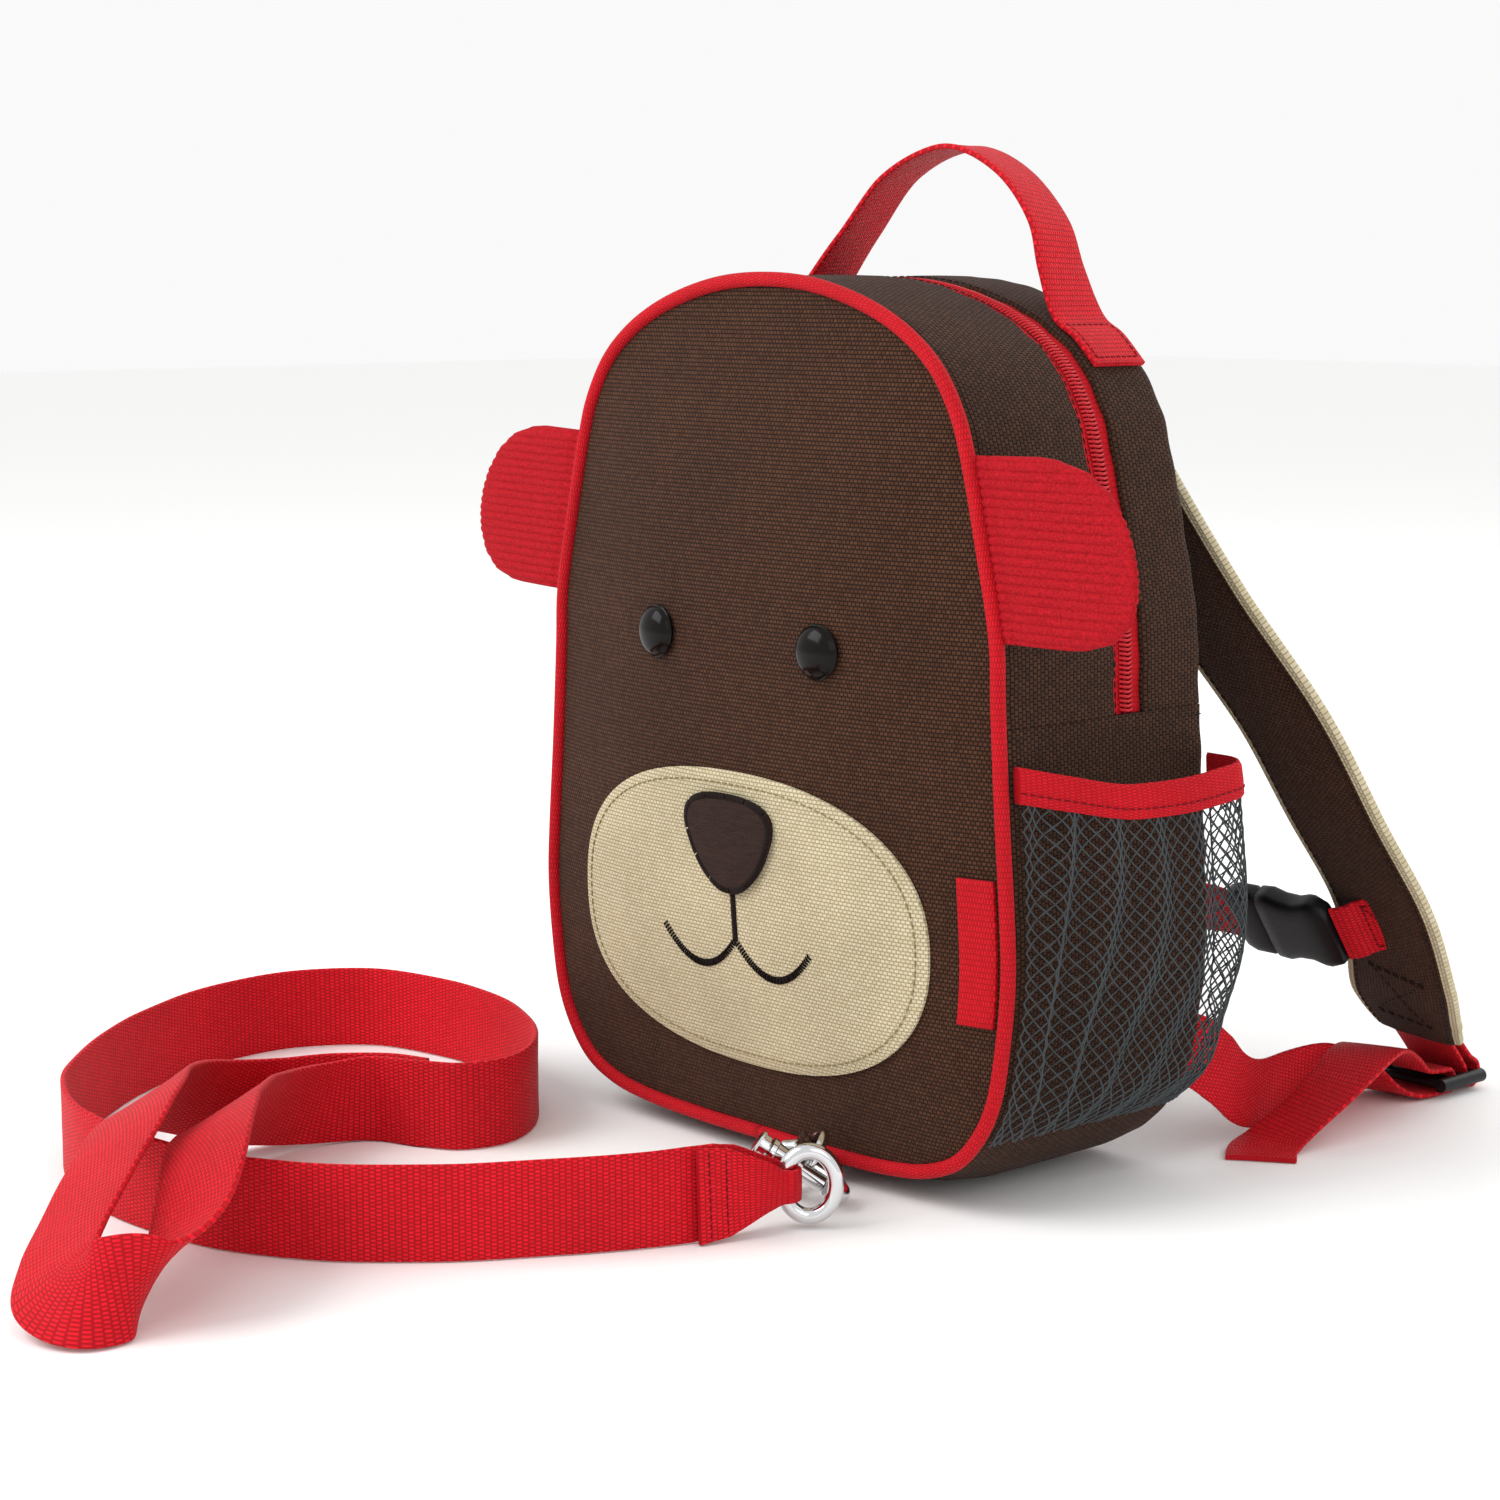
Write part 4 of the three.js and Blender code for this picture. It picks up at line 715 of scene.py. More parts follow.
def make_leash():
    rows = leash_rows()
    leash = dress(webbing("leash", rows, WEBBING, LEASH_STEPS, WEB, 0.25), "red_webbing", "leash_web")
    web = web_lines(rows, LEASH_STEPS)
    middle = web[0]
    length = run_length(middle)
    # Two rows across the fold by the ring, and a box with a cross where the hand loop is sewn down
    low, high = length[-1] - 26, length[-1] - 3
    passes = [[(at, -0.85), (at, 0.85)] for at in (3.0, 8.0)]
    passes.append(box(low, high, 0.8) + [(high, 0.8)])
    lift = WEBBING / 2 + THREAD_LIFT
    lines = [sewn(web, side * lift, corners) for corners in passes for side in (-1, 1)]
    dress(stitches("leash_stitches", lines, WEB_STITCH, THREAD_RED), "red_webbing")


make_camera()
make_leash()


# The bag's cloth shell. A pucker is its depth and its pitch, and sometimes its phase
PANEL_RADIUS = 110.0
PANEL_PUCKER = (0.22, 17.0)
GUSSET_PUCKER = (0.16, 13.0, 0.7)
PUCKER_FADE = 4.0
EDGE_ROLL = 0.55


def puckers(run, depth, pitch, phase=0.0):
    """Small sewn-in waves along a seam; a second, longer wave keeps them from repeating."""
    short = np.sin(2 * np.pi * run / pitch + phase)
    long = np.sin(2 * np.pi * run / (pitch * 1.73) + 2 * phase)
    return depth * (short + 0.6 * long)


def panel_grid(around, shares, inset):
    """Angles round a panel's middle, and the x and z at shares of the way out to its edge."""
    angles = np.linspace(0, 2 * np.pi, around, endpoint=False)[:, None]
    reach = panel_reach(angles, inset)
    return angles, np.sin(angles) * shares * reach, PANEL_CENTRE - np.cos(angles) * shares * reach


def make_front():
    shares = (np.linspace(0, 1, 40) ** 0.8)[None, :]
    angles, x, z = panel_grid(240, shares, PANEL_INSET - 0.6)
    # The puckers lie in the outer seventh, by the piping
    fade = np.clip((shares - 0.86) / 0.1, 0, 1)
    wave = puckers(angles * PANEL_RADIUS, *PANEL_PUCKER) * fade * (1 - shares) * 14
    y = FRONT_SEAM - FRONT_BULGE * crown(shares) + wave
    outer = np.stack([x, y, z], -1)
    front = slab("front_cloth", outer, outer + [0, CLOTH, 0], outer[..., [0, 2]], BROWN, True)
    dress(front, "brown_polyester", "front_panel")


def make_back():
    shares = np.linspace(0, 1, 16)[None, :]
    x, z = panel_grid(160, shares, GUSSET_INSET + CLOTH + FIT_GAP)[1:]
    y = HALF_DEPTH + BACK_BULGE * crown(shares)
    outer = np.stack(np.broadcast_arrays(x, y, z), -1)
    back = slab("back_cloth", outer, outer - [0, CLOTH, 0], outer[..., [0, 2]], BROWN, True)
    dress(back, "brown_polyester", "back_panel")


def make_piping():
    points = outline_at(np.linspace(0, 1, 420, endpoint=False), PIPING_RADIUS, FRONT_SEAM)
    cord = wire("piping", points, PIPING_RADIUS * 0.97, 14, TAPE, True, (0, 1, 0))
    dress(cord, "red_piping", "front_piping")


SEAM_SHARE = share_at_height(SEAM_HEIGHT)
SEAM_STEP = FIT_GAP / 2 / OUTLINE_LENGTH
# The zip and the gussets beside it run along the outline over the top, between the two side seams
ARCH = (SEAM_SHARE + SEAM_STEP, 1 - SEAM_SHARE - SEAM_STEP)


def band(name, shares, stations, material, slot, replaced, drop=None):
    """A gusset along the outline; stations are (y, inset of the outer face, wall)."""
    ys, insets, walls = (np.array(column, float)[None, :] for column in zip(*stations))
    run = shares[:, None] * OUTLINE_LENGTH
    edge = np.minimum(ys - ys.min(), ys.max() - ys)
    wave = puckers(run, *GUSSET_PUCKER) * np.exp(-edge / PUCKER_FADE)
    outer = outline_at(shares[:, None], insets + wave, ys)
    inner = outline_at(shares[:, None], insets + walls, ys)
    if drop is not None:
        outer, inner = drop(shares, outer, inner)
    uv = np.stack(np.broadcast_arrays(run, ys), -1)
    dress(slab(name, outer, inner, uv, material), slot, replaced)


def gusset_stations(low, high, inset_low, inset_high, count, bow):
    """Stations across a gusset: its edges roll in to their seams, and its middle bows out."""
    rows = []
    for t in np.linspace(0, 1, count):
        roll = EDGE_ROLL * (math.exp(-(t * (high - low)) ** 2) + math.exp(-((1 - t) * (high - low)) ** 2))
        inset = inset_low + (inset_high - inset_low) * t - bow * math.sin(math.pi * t) + roll
        rows.append((low + (high - low) * t, inset, CLOTH))
    return rows


def make_gussets():
    # The gussets take the darker copy of the brown cloth, whose colour is painted shade
    shares = np.linspace(*ARCH, 300)
    # The edges by the zip are folded over its tape
    fold = 1.0
    front = gusset_stations(GUSSET_FRONT, ZIPPER_FRONT + fold, GUSSET_INSET + 0.4, GUSSET_INSET, 22, 0.7)
    band("front_side_cloth", shares, front, GUSSET, "brown_polyester", "front_gusset")
    rear = gusset_stations(ZIPPER_REAR - fold, HALF_DEPTH, GUSSET_INSET, GUSSET_INSET + 0.2, 14, 0.3)
    band("rear_side_cloth", shares, rear, GUSSET, "brown_polyester", "rear_gusset")


# Sag of the lower gusset: share of the depth, share of the drop to the floor
SAG = [(0, 0.12), (0.12, 0.72), (0.28, 1), (0.84, 1), (1, 0.6)]
REST_DROP = FLOOR_CLEARANCE + GUSSET_INSET
SAG_RISE = 0.09


def rest_on_floor(shares, outer, inner):
    """Lets the lower gusset sag to the floor and lie flat there."""
    height = outline_at(shares, 0)[:, 2] - FLOOR_CLEARANCE
    near = np.maximum(0, 1 - height / (BAG_HEIGHT * SAG_RISE)) ** 1.3
    along = (outer[..., 1] - GUSSET_FRONT) / (HALF_DEPTH - GUSSET_FRONT)
    fall = np.interp(along, [row[0] for row in SAG], [row[1] for row in SAG]) * REST_DROP * near[:, None]
    for grid, floor in ((outer, 0.0), (inner, CLOTH)):
        grid[..., 2] = np.maximum(grid[..., 2] - fall, floor)
    return outer, inner


def make_lower():
    # The lower gusset takes the same darker brown, whose colour is painted shade
    shares = np.linspace(-SEAM_SHARE, SEAM_SHARE, 320)
    stations = gusset_stations(GUSSET_FRONT, HALF_DEPTH, GUSSET_INSET, GUSSET_INSET, 30, 0.2)
    band("lower_side_cloth", shares, stations, GUSSET, "brown_polyester", "lower_gusset", rest_on_floor)


TAPE_INSET = GUSSET_INSET + 1.4
TAPE_WALL = CLOTH * 0.7
COIL_INSET = GUSSET_INSET + 0.55
COIL_PITCH = 1.25
COIL_LEAN = 0.55
COIL_THREAD = 0.46
COIL_CORD = 0.45
# One turn of the coil across the zip: share of half the coil's width, and how far it dips
COIL_TURN = [(-1, 0.9), (-0.5, 0.15), (0, 0), (0.5, 0.15), (1, 0.9)]


def make_zipper():
    tape = [(ZIPPER_FRONT + FIT_GAP, TAPE_INSET, TAPE_WALL), (ZIPPER_MIDDLE, TAPE_INSET + 0.2, TAPE_WALL),
            (ZIPPER_REAR - FIT_GAP, TAPE_INSET, TAPE_WALL)]
    band("zipper_tape", np.linspace(*ARCH, 260), tape, TAPE, "red_zipper", "zipper")
    span = ARCH[1] - ARCH[0]
    half = COIL_WIDTH / 2
    lean = COIL_LEAN / OUTLINE_LENGTH
    count = int(span * OUTLINE_LENGTH / COIL_PITCH)
    turns = []
    for k in range(count):
        share = ARCH[0] + span * (k + 0.5) / count
        turns.append([
            outline_at(share + lean * abs(out), COIL_INSET + dip, ZIPPER_MIDDLE + out * half)
            for out, dip in COIL_TURN
        ])
    dress(threads("zipper_coil", turns, COIL_THREAD, 5, COIL), "red_zipper")
    # The two rows of sewing cord that the coil's turns close over
    cords = [outline_at(np.linspace(*ARCH, 900), GUSSET_INSET + 0.9, ZIPPER_MIDDLE + side * COIL_WIDTH / 4)
             for side in (-1, 1)]
    dress(threads("zipper_cords", cords, COIL_CORD, 6, THREAD_RED), "red_zipper")


SLIDER_HEIGHT = 144.0


def make_slider():
    """Zip slider at the left end of the zip: its body, the bridge over it, and a plain pull."""
    share = 1 - share_at_height(SLIDER_HEIGHT)
    centre = outline_at(share, 0, ZIPPER_MIDDLE)
    up = unit(outline_at(share - 0.005, 0) - outline_at(share + 0.005, 0))
    rear = np.array([0.0, 1.0, 0.0])
    outward = -np.cross(rear, up)

    def place(along, across, lift):
        return centre + up * along + rear * across + outward * lift

    body = [(-6, 2.4, 0.8), (-5.5, 3.2, 1.3), (-1, 3.5, 1.5), (3, 4.4, 1.5), (5.5, 4.2, 1.3), (6, 3.4, 0.8)]
    bridge = spline([place(a, 0, b) for a, b in [(-4.2, 1), (-3.6, 2.9), (-1, 3.5), (1.6, 3.1), (3.4, 1)]],
                    np.linspace(0, 1, 30))
    # The pull hangs from the bridge and lies against the gusset
    pull = [(0, 1.4, 0.5), (-0.6, 1.9, 0.6), (-5, 2, 0.6), (-9, 2.7, 0.6), (-15, 2.9, 0.6), (-16.5, 2.5, 0.6),
            (-17, 1.8, 0.4)]
    pieces = [
        moulding("slider_body", body, place, NICKEL),
        wire("slider_bridge", bridge, 0.75, 12, NICKEL, start=(0, 1, 0)),
        moulding("slider_pull", pull, lambda a, b, c: place(a, b, 2.6 + 0.07 * a + c), NICKEL),
    ]
    dress(join("zip_slider", pieces), "nickel_plating", "zipper_slider")


make_front()
make_back()
make_piping()
make_gussets()
make_lower()
make_zipper()
make_slider()


# Face patches. The muzzle and the nose are their width, their height and the height of their middle
PATCH = 1.2
PATCH_LIFT = 0.55
MUZZLE = (142.0, 84.0, 70.0)
NOSE = (44.0, 27.0, 92.0)
EYE_RADIUS = 7.5
EYE_DOME = 4.2
EYE_WALL = 0.8
EYE_SPREAD = 33.0
EYE_HEIGHT = 148.0
LINE_DROP = 14
SMILE_HALF = 30
SMILE_DEPTH = 9
# Satin stitching is its width and the pitch of its threads
MOUTH_SATIN = (1.9, 0.45)
NOSE_SATIN = (2.2, 0.5)
# How far inside the muzzle's edge its stitches run
MUZZLE_SEAM = 3.4


def rounded_oval(angle, width, height, power):
    c, s = np.cos(angle), np.sin(angle)
    x = np.sign(s) * np.abs(s) ** power * width / 2
    z = -np.sign(c) * np.abs(c) ** power * height / 2
    return x, z


def muzzle_edge(angle):
    return rounded_oval(angle, MUZZLE[0], MUZZLE[1], 0.86)


def nose_edge(angle):
    x, z = rounded_oval(angle, NOSE[0], NOSE[1], 0.8)
    return x * (0.72 + 0.28 * z / (NOSE[1] / 2)), z


def patch(name, edge, centre, lift, material, slot, replaced, puff=0.0):
    """A patch sewn on the front: its rim is drawn down, and puff raises its middle."""
    angles = np.linspace(0, 2 * np.pi, 220, endpoint=False)[:, None]
    shares = np.linspace(0, 1, 30)[None, :]
    x, z = (value * shares for value in edge(angles))
    z = z + centre
    y = front_surface(x, z)
    rim = np.clip((1 - shares) * 12, 0, 1) ** 0.5
    outer = np.stack([x, y - lift - PATCH * (0.45 + 0.55 * rim) - puff * (1 - shares**4), z], -1)
    inner = np.stack([x, y - lift * 0.4, z], -1)
    dress(slab(name, outer, inner, outer[..., [0, 2]], material, True), slot, replaced)


def on_front(x, z, lift):
    return np.stack([x, front_surface(x, z) - lift, z], -1)


def satin(name, line, width, pitch):
    """Satin stitching: close threads laid across a line on the front."""
    side = unit(np.cross(tangents(line), [0, 1, 0]))
    length = run_length(line)
    rows = []
    for at in np.linspace(0, length[-1], int(length[-1] / pitch)):
        k = min(int(np.searchsorted(length, at)), len(line) - 1)
        rows.append([
            line[k] + side[k] * s * width / 2 - np.array([0, THREAD_LIFT + 0.45 * (1 - s * s), 0])
            for s in (-1, -0.5, 0, 0.5, 1)
        ])
    dress(threads(name, rows, pitch * 0.62, 5, FELT), "dark_brown_felt")


def make_face():
    patch("muzzle_canvas", muzzle_edge, MUZZLE[2], PATCH_LIFT, CANVAS, "cream_canvas", "muzzle_patch")
    nose_lift = 2 * PATCH_LIFT + PATCH
    patch("nose_cloth", nose_edge, NOSE[2], nose_lift, FELT, "dark_brown_felt", "nose_patch", 0.4)
    angles = np.linspace(0, 2 * np.pi, 260, endpoint=False)
    x, z = muzzle_edge(angles)
    inset = 1 - MUZZLE_SEAM / np.hypot(x, z)
    line = on_front(x * inset, z * inset + MUZZLE[2], PATCH_LIFT + PATCH + THREAD_LIFT)
    dress(stitches("muzzle_stitches", [evenly(line, 300)], PATCH_STITCH, THREAD_CREAM), "cream_canvas")
    # A plain line of satin stitch down from the nose, and a shallow smile
    top = NOSE[2] - NOSE[1] / 2
    z = np.linspace(top, top - LINE_DROP, 30)
    satin("muzzle_line", on_front(0 * z, z, PATCH_LIFT + PATCH), *MOUTH_SATIN)
    x = np.linspace(-SMILE_HALF, SMILE_HALF, 90)
    z = top - LINE_DROP - SMILE_DEPTH * (1 - (np.abs(x) / (SMILE_HALF / 2) - 1) ** 2)
    satin("muzzle_smile", on_front(x, z, PATCH_LIFT + PATCH), *MOUTH_SATIN)
    angles = np.linspace(0, 2 * np.pi, 160, endpoint=False)
    x, z = nose_edge(angles)
    rim = on_front(x * 0.96, z * 0.96 + NOSE[2], 2 * PATCH_LIFT + PATCH * 1.6)
    satin("nose_edging", evenly(rim, 200), *NOSE_SATIN)
    for label, side in SIDES:
        make_eye(label, side)


def make_eye(label, side):
    """A domed cap that stands square on the front, on a short straight wall."""
    x = side * EYE_SPREAD
    centre = on_front(x, EYE_HEIGHT, PATCH_LIFT)
    slope_x = (front_surface(x + 1, EYE_HEIGHT) - front_surface(x - 1, EYE_HEIGHT)) / 2
    slope_z = (front_surface(x, EYE_HEIGHT + 1) - front_surface(x, EYE_HEIGHT - 1)) / 2
    outward = unit([slope_x, -1, slope_z])
    right = unit(np.cross(outward, UP))
    upward = np.cross(right, outward)
    profile = [(0, 0), (EYE_RADIUS * 0.96, 0), (EYE_RADIUS, 0.5)]
    for a in np.linspace(0, np.pi / 2, 14):
        radius = EYE_RADIUS * (0.94 * math.cos(a) + 0.06 * (a == 0))
        profile.append((radius, EYE_WALL + (EYE_DOME - EYE_WALL) * math.sin(a)))
    rings = np.array([
        [centre + outward * h + r * (math.cos(a) * right + math.sin(a) * upward) for r, h in profile]
        for a in np.linspace(0, 2 * np.pi, 48, endpoint=False)
    ])
    count, sides = rings.shape[:2]
    faces = []
    for i in range(count):
        here, after = i * sides, (i + 1) % count * sides
        faces += [(here + k, after + k, after + k + 1, here + k + 1) for k in range(sides - 1)]
    cap = finish_mesh(f"eye_{label}", rings.reshape(-1, 3), faces, rings[..., [0, 2]].reshape(-1, 2), [CAP])
    dress(cap, "glossy_eye_plastic", f"eye_cap_{label}")


make_face()


# Ear tabs with ribs that run outwards
EAR_ROOT = 49.0
EAR_THICKNESS = 4.4
EAR_CENTRE = 178.5
# Reach, and lean to the rear in degrees: the right ear is pressed a little forward
EAR_LIE = {"left": (52.0, 7.0), "right": (49.0, -2.0)}
# Outline of an ear: share of half its root, share of its reach
EAR_RIM = [(0, 1.0), (0.14, 0.998), (0.38, 0.97), (0.66, 0.89), (0.87, 0.75), (0.98, 0.55), (1.0, 0.42)]
RIB_PITCH = 2.45
RIB_DEPTH = 0.5
# The crease's distance from the root, its spread and its depth
EAR_CREASE = (5, 1.1, 0.7)


def make_ear(label, side):
    """A puffed tab, drawn in along a crease near its root, with cord ribs across both faces."""
    full_reach, lean = EAR_LIE[label]
    share = share_at_height(EAR_CENTRE)
    y = FRONT_SEAM + 0.4 * EAR_THICKNESS
    middle_root = outline_at(share, -FIT_GAP - 0.2, y)
    along = unit(outline_at(share + 0.01, 0) - outline_at(share - 0.01, 0))
    outward = np.array([math.cos(math.radians(lean)), math.sin(math.radians(lean)), 0])
    normal = unit(np.cross(outward, along))
    half = EAR_ROOT / 2
    a = np.linspace(-1, 1, 241)[:, None]
    u = (1 - (1 - np.linspace(0, 1, 46)) ** 1.4)[None, :]
    rib = np.abs(np.cos(np.pi * a * half / RIB_PITCH))
    reach = np.interp(np.abs(a), [row[0] for row in EAR_RIM], [row[1] for row in EAR_RIM]) * full_reach
    reach = reach + RIB_DEPTH * (rib - 0.5)
    # The root follows the outline and goes behind the piping, into the seam
    root = outline_at(share + a * half / OUTLINE_LENGTH, 1.6, y)
    tip = middle_root + outward * reach[..., None] + along * (a * half)[..., None]
    distance = reach * u
    # The rim is rounded off, and the tab is flatter near the seam
    edge = np.sqrt(np.clip(1 - u**7, 0, 1)) * np.sqrt(np.clip(1 - np.abs(a) ** 14, 0, 1))
    neck = 0.62 + 0.38 * np.clip(distance / 12, 0, 1)
    crease_at, spread, depth = EAR_CREASE
    crease = np.exp(-(((distance - crease_at) / spread) ** 2))
    thick = (EAR_THICKNESS / 2 - 0.35) * (0.25 + 0.75 * edge) * neck - depth * crease
    thick = thick + RIB_DEPTH * (rib**0.8 - 0.3) * edge
    middle = root + (tip - root) * u[..., None]
    bend = normal * (1.2 * (distance / full_reach) ** 2 * np.cos(a * 2.2))[..., None]
    faces = [middle + bend * 0.5 + normal * (sign * thick)[..., None] for sign in (-1, 1)]
    for grid in faces:
        grid[..., 0] *= side
    uv = np.stack(np.broadcast_arrays(distance, a * half), -1)
    ear = dress(slab(f"ear_tab_{label}", *faces, uv, PILE), "red_ribbed_cord", f"ear_{label}")


for label, side in SIDES:
    make_ear(label, side)


# Blank label tab, as its width, its height and the height of its middle, and the top handle
LABEL = (10.5, 39.0, 73.5)
HANDLE_WIDTH = 20.0
HANDLE_RISE = 36.0
HANDLE_STEPS = 200
HANDLE_FEET = ((3, 26), (174, 197))


def make_label():
    width, height, centre = LABEL
    heights = np.linspace(centre - height / 2, centre + height / 2, 40)
    z, shares = np.meshgrid(heights, np.linspace(0, 1, 12), indexing="ij")
    x = half_width_at(z) - PANEL_INSET - 0.5 - (1 - shares) * width
    y = front_surface(x, z)
    rim = np.minimum(np.minimum(shares, 1 - shares) * width, height / 2 - np.abs(z - centre))
    lift = 0.5 + PATCH * np.clip(0.55 + rim / 1.2, 0, 1)
    outer = np.stack([x, y - lift, z], -1)
    inner = np.stack([x, y - FIT_GAP, z], -1)
    label = slab("blank_label", outer, inner, np.stack([z, x], -1), TAPE)
    dress(label, "red_webbing", "label_tab")


def handle_rows():
    """Rows of the handle's webbing: its feet lie on the rear gusset, and its arch turns a little."""
    y = (ZIPPER_REAR + HALF_DEPTH) / 2
    seat = GUSSET_INSET - 2 * FIT_GAP - WEBBING / 2
    shares = np.linspace(0.3, 0.5, 600)
    xs = outline_at(shares, seat)[:, 0]
    across = np.array([0.0, 1.0, 0.0])

    def foot(x):
        share = np.interp(abs(x), xs[::-1], shares[::-1])
        point = outline_at(share, seat, y)
        point[0] *= math.copysign(1, x)
        return point, across, HANDLE_WIDTH

    top = FLOOR_CLEARANCE + BAG_HEIGHT

    def arch(x, rise, turn):
        return np.array([x, y, top + rise * HANDLE_RISE]), np.array([-turn, 1, 0]), HANDLE_WIDTH

    return [
        foot(-69), foot(-62), foot(-55), arch(-44, -0.02, 0.1), arch(-33, 0.3, 0.2), arch(-16, 0.74, 0.3),
        arch(8, 0.95, 0.34), arch(29, 0.75, 0.3), arch(42, 0.38, 0.2), arch(47, 0.02, 0.1),
        foot(54), foot(61), foot(69),
    ]


def make_handle():
    rows = handle_rows()
    dress(webbing("carry_handle", rows, WEBBING, HANDLE_STEPS, WEB, 0.15), "red_webbing", "top_handle")
    web = web_lines(rows, HANDLE_STEPS)
    length = run_length(web[0])
    # The stitches lie on the upper face, whichever that is
    lift = np.sign(web[2][:, 2:]) * (WEBBING / 2 + THREAD_LIFT)
    lines = [sewn(web, lift, box(length[low], length[high], 0.82)) for low, high in HANDLE_FEET]
    dress(stitches("handle_stitches", lines, WEB_STITCH, THREAD_RED), "red_webbing")


make_label()
make_handle()


# Side pockets: a gathered net under a folded tape
POCKET_TOP = 119.0
POCKET_BOTTOM = 21.0
POCKET_BULGE = 21.0
POCKET_HEIGHT = POCKET_TOP - POCKET_BOTTOM
POCKET_DIP = 4.0
BINDING_HEIGHT = 9.2
BINDING_THICKNESS = 2.4
# Shares along the pocket or up it, with the share of the bulge, of the rim's dip, and of the bulge again
POCKET_OUT = [(0, 0), (0.16, 0.36), (0.4, 0.74), (0.62, 0.95), (0.8, 1), (0.93, 0.72), (1, 0.02)]
POCKET_RIM = [(0, 1), (0.16, 0.3), (0.4, -0.5), (0.62, -0.35), (0.8, 0), (0.93, 0.2), (1, 0)]
POCKET_BELLY = [(0, 0.1), (0.12, 0.5), (0.3, 0.7), (0.5, 0.92), (0.68, 1), (0.85, 0.96), (1, 0.9)]
NET_CELLS = (27, 21)
NET_WIRE = 0.3
# The binding tape from its lower edge up: share of its height below the rim, inset, offset of its inner side
BINDING_FOLD = [(1, 0.9, 0.3), (0.92, 0.2, 0), (0.5, 0, 0), (0.12, 0.15, 0.05), (0, 0.9, 0.6)]


def pocket_point(along, up, offset):
    """Places on the right pocket's skin, at shares along it and up it, moved out by offset."""
    along, up, offset = np.broadcast_arrays(np.asarray(along, float), up, offset)
    top = POCKET_TOP + POCKET_DIP * smooth_table(POCKET_RIM, along)
    z = POCKET_BOTTOM + (top - POCKET_BOTTOM) * up
    bulge = smooth_table(POCKET_OUT, along) * smooth_table(POCKET_BELLY, np.clip(up, 0, 1))
    skin = half_width_at(z) - GUSSET_INSET + 4 * FIT_GAP
    y = GUSSET_FRONT + 0.5 + (HALF_DEPTH - 1 - GUSSET_FRONT) * along
    return np.stack([skin + offset + bulge * POCKET_BULGE, y, z], -1)


def net_place(along, up):
    """The net's own surface, with gathers that hang from the tape and are deepest near its front."""
    fold = 2 * np.pi * (6.5 * along**0.8 + 0.35 * np.sin(4.2 * up + 3 * along))
    free = np.clip(along * 9, 0, 1) * np.clip((1 - along) * 7, 0, 1)
    depth = free * (1.25 - 0.75 * along) * (0.3 + 0.7 * np.sin(np.pi * np.clip(up, 0, 1) ** 0.8))
    shift = 0.02 * np.cos(fold) * free * (1.2 - along)
    return pocket_point(np.clip(along + shift, 0, 1), up, 0.8 + 1.3 * depth * np.sin(fold))


def mirror(points, side):
    return np.asarray(points) * [side, 1, 1]


def make_pocket(label, side):
    share = BINDING_HEIGHT / POCKET_HEIGHT
    columns, rows = NET_CELLS
    top = 1 - share * 0.8
    # Neighbouring threads meet at every turn, so the cells are diamonds that lean with the gathers
    js = np.linspace(0, rows, 2 * rows + 1)
    zigzag = np.abs(js % 2 - 1) - 0.5
    ups = js / rows * top
    lines = []
    for k in range(columns + 1):
        for lean in (-1, 1):
            along = np.clip((k + lean * zigzag + 0.9 * np.sin(2.2 * ups)) / (columns + 0.8), 0, 1)
            lines.append(mirror(net_place(along, ups), side))
    net = threads(f"pocket_mesh_{label}", lines, NET_WIRE, 4, NET)
    dress(net, "grey_net", f"pocket_net_{label}")
    along = np.linspace(0, 1, 90)[:, None]
    below, inset, within = np.array(BINDING_FOLD).T[:, None, :]
    ups = 1 - below * share
    outer = mirror(pocket_point(along, ups, BINDING_THICKNESS - inset), side)
    inner = mirror(pocket_point(along, ups, within), side)
    run = run_length(outer[:, 2])
    uv = np.stack(np.broadcast_arrays(run[:, None], ups * POCKET_HEIGHT), -1)
    tape = slab(f"pocket_tape_{label}", outer, inner, uv, TAPE)
    dress(tape, "red_binding", f"pocket_binding_{label}")
    fine = np.linspace(0.01, 0.99, 120)
    line = mirror(pocket_point(fine, 1 - 0.7 * share, BINDING_THICKNESS + THREAD_LIFT), side)
    dress(stitches(f"pocket_stitches_{label}", [line], BINDING_STITCH, THREAD_RED), "red_binding")


for label, side in SIDES:
    make_pocket(label, side)


# Shoulder straps and their webbing
STRAP_ROUTE = [
    (43, HALF_DEPTH + 4.2, 225.5), (43.5, HALF_DEPTH + 5.4, 213), (49, 56, 190), (64, 72, 154),
    (81.5, 87, 121), (90, 101, 92), (94, 118, 66), (90, 134, 43), (83, 147, 29), (80, 158, 19.5),
]
LOCK_WIDTH = 27.0
LOCK_THICKNESS = 4.2
LOCK_LIFT = 2.2
LOCK_BAR = 2.8
LOCK_SLOT = 3.6
LOCK_FRONT = 153.6
LOCK_X = 79.0
LOCK_MIDDLE = LOCK_LIFT + LOCK_THICKNESS / 2
LOCK_TOP = LOCK_LIFT + LOCK_THICKNESS
WEB_UNDER = WEBBING / 2 + 0.15
WEB_OVER = LOCK_TOP + WEBBING / 2 + 0.4
# Places along the strap of the two bars of stitching, and their reach as a share of half the width
STRAP_TACK = (213.0, 238.0)
TACK_REACH = 0.46
# The upper half of the strap's section: share of half the width, share of half the thickness
STRAP_SECTION = [
    (-1, 0.12), (-0.97, 0.5), (-0.86, 0.62), (-0.8, 0.86), (-0.4, 1), (0, 1), (0.4, 1), (0.8, 0.86),
    (0.86, 0.62), (0.97, 0.5), (1, 0.12),
]


def lock_slot(i):
    return LOCK_FRONT + LOCK_BAR + i * (LOCK_BAR + LOCK_SLOT) + LOCK_SLOT / 2


def lock_bar(i):
    return LOCK_FRONT + LOCK_BAR / 2 + i * (LOCK_BAR + LOCK_SLOT)


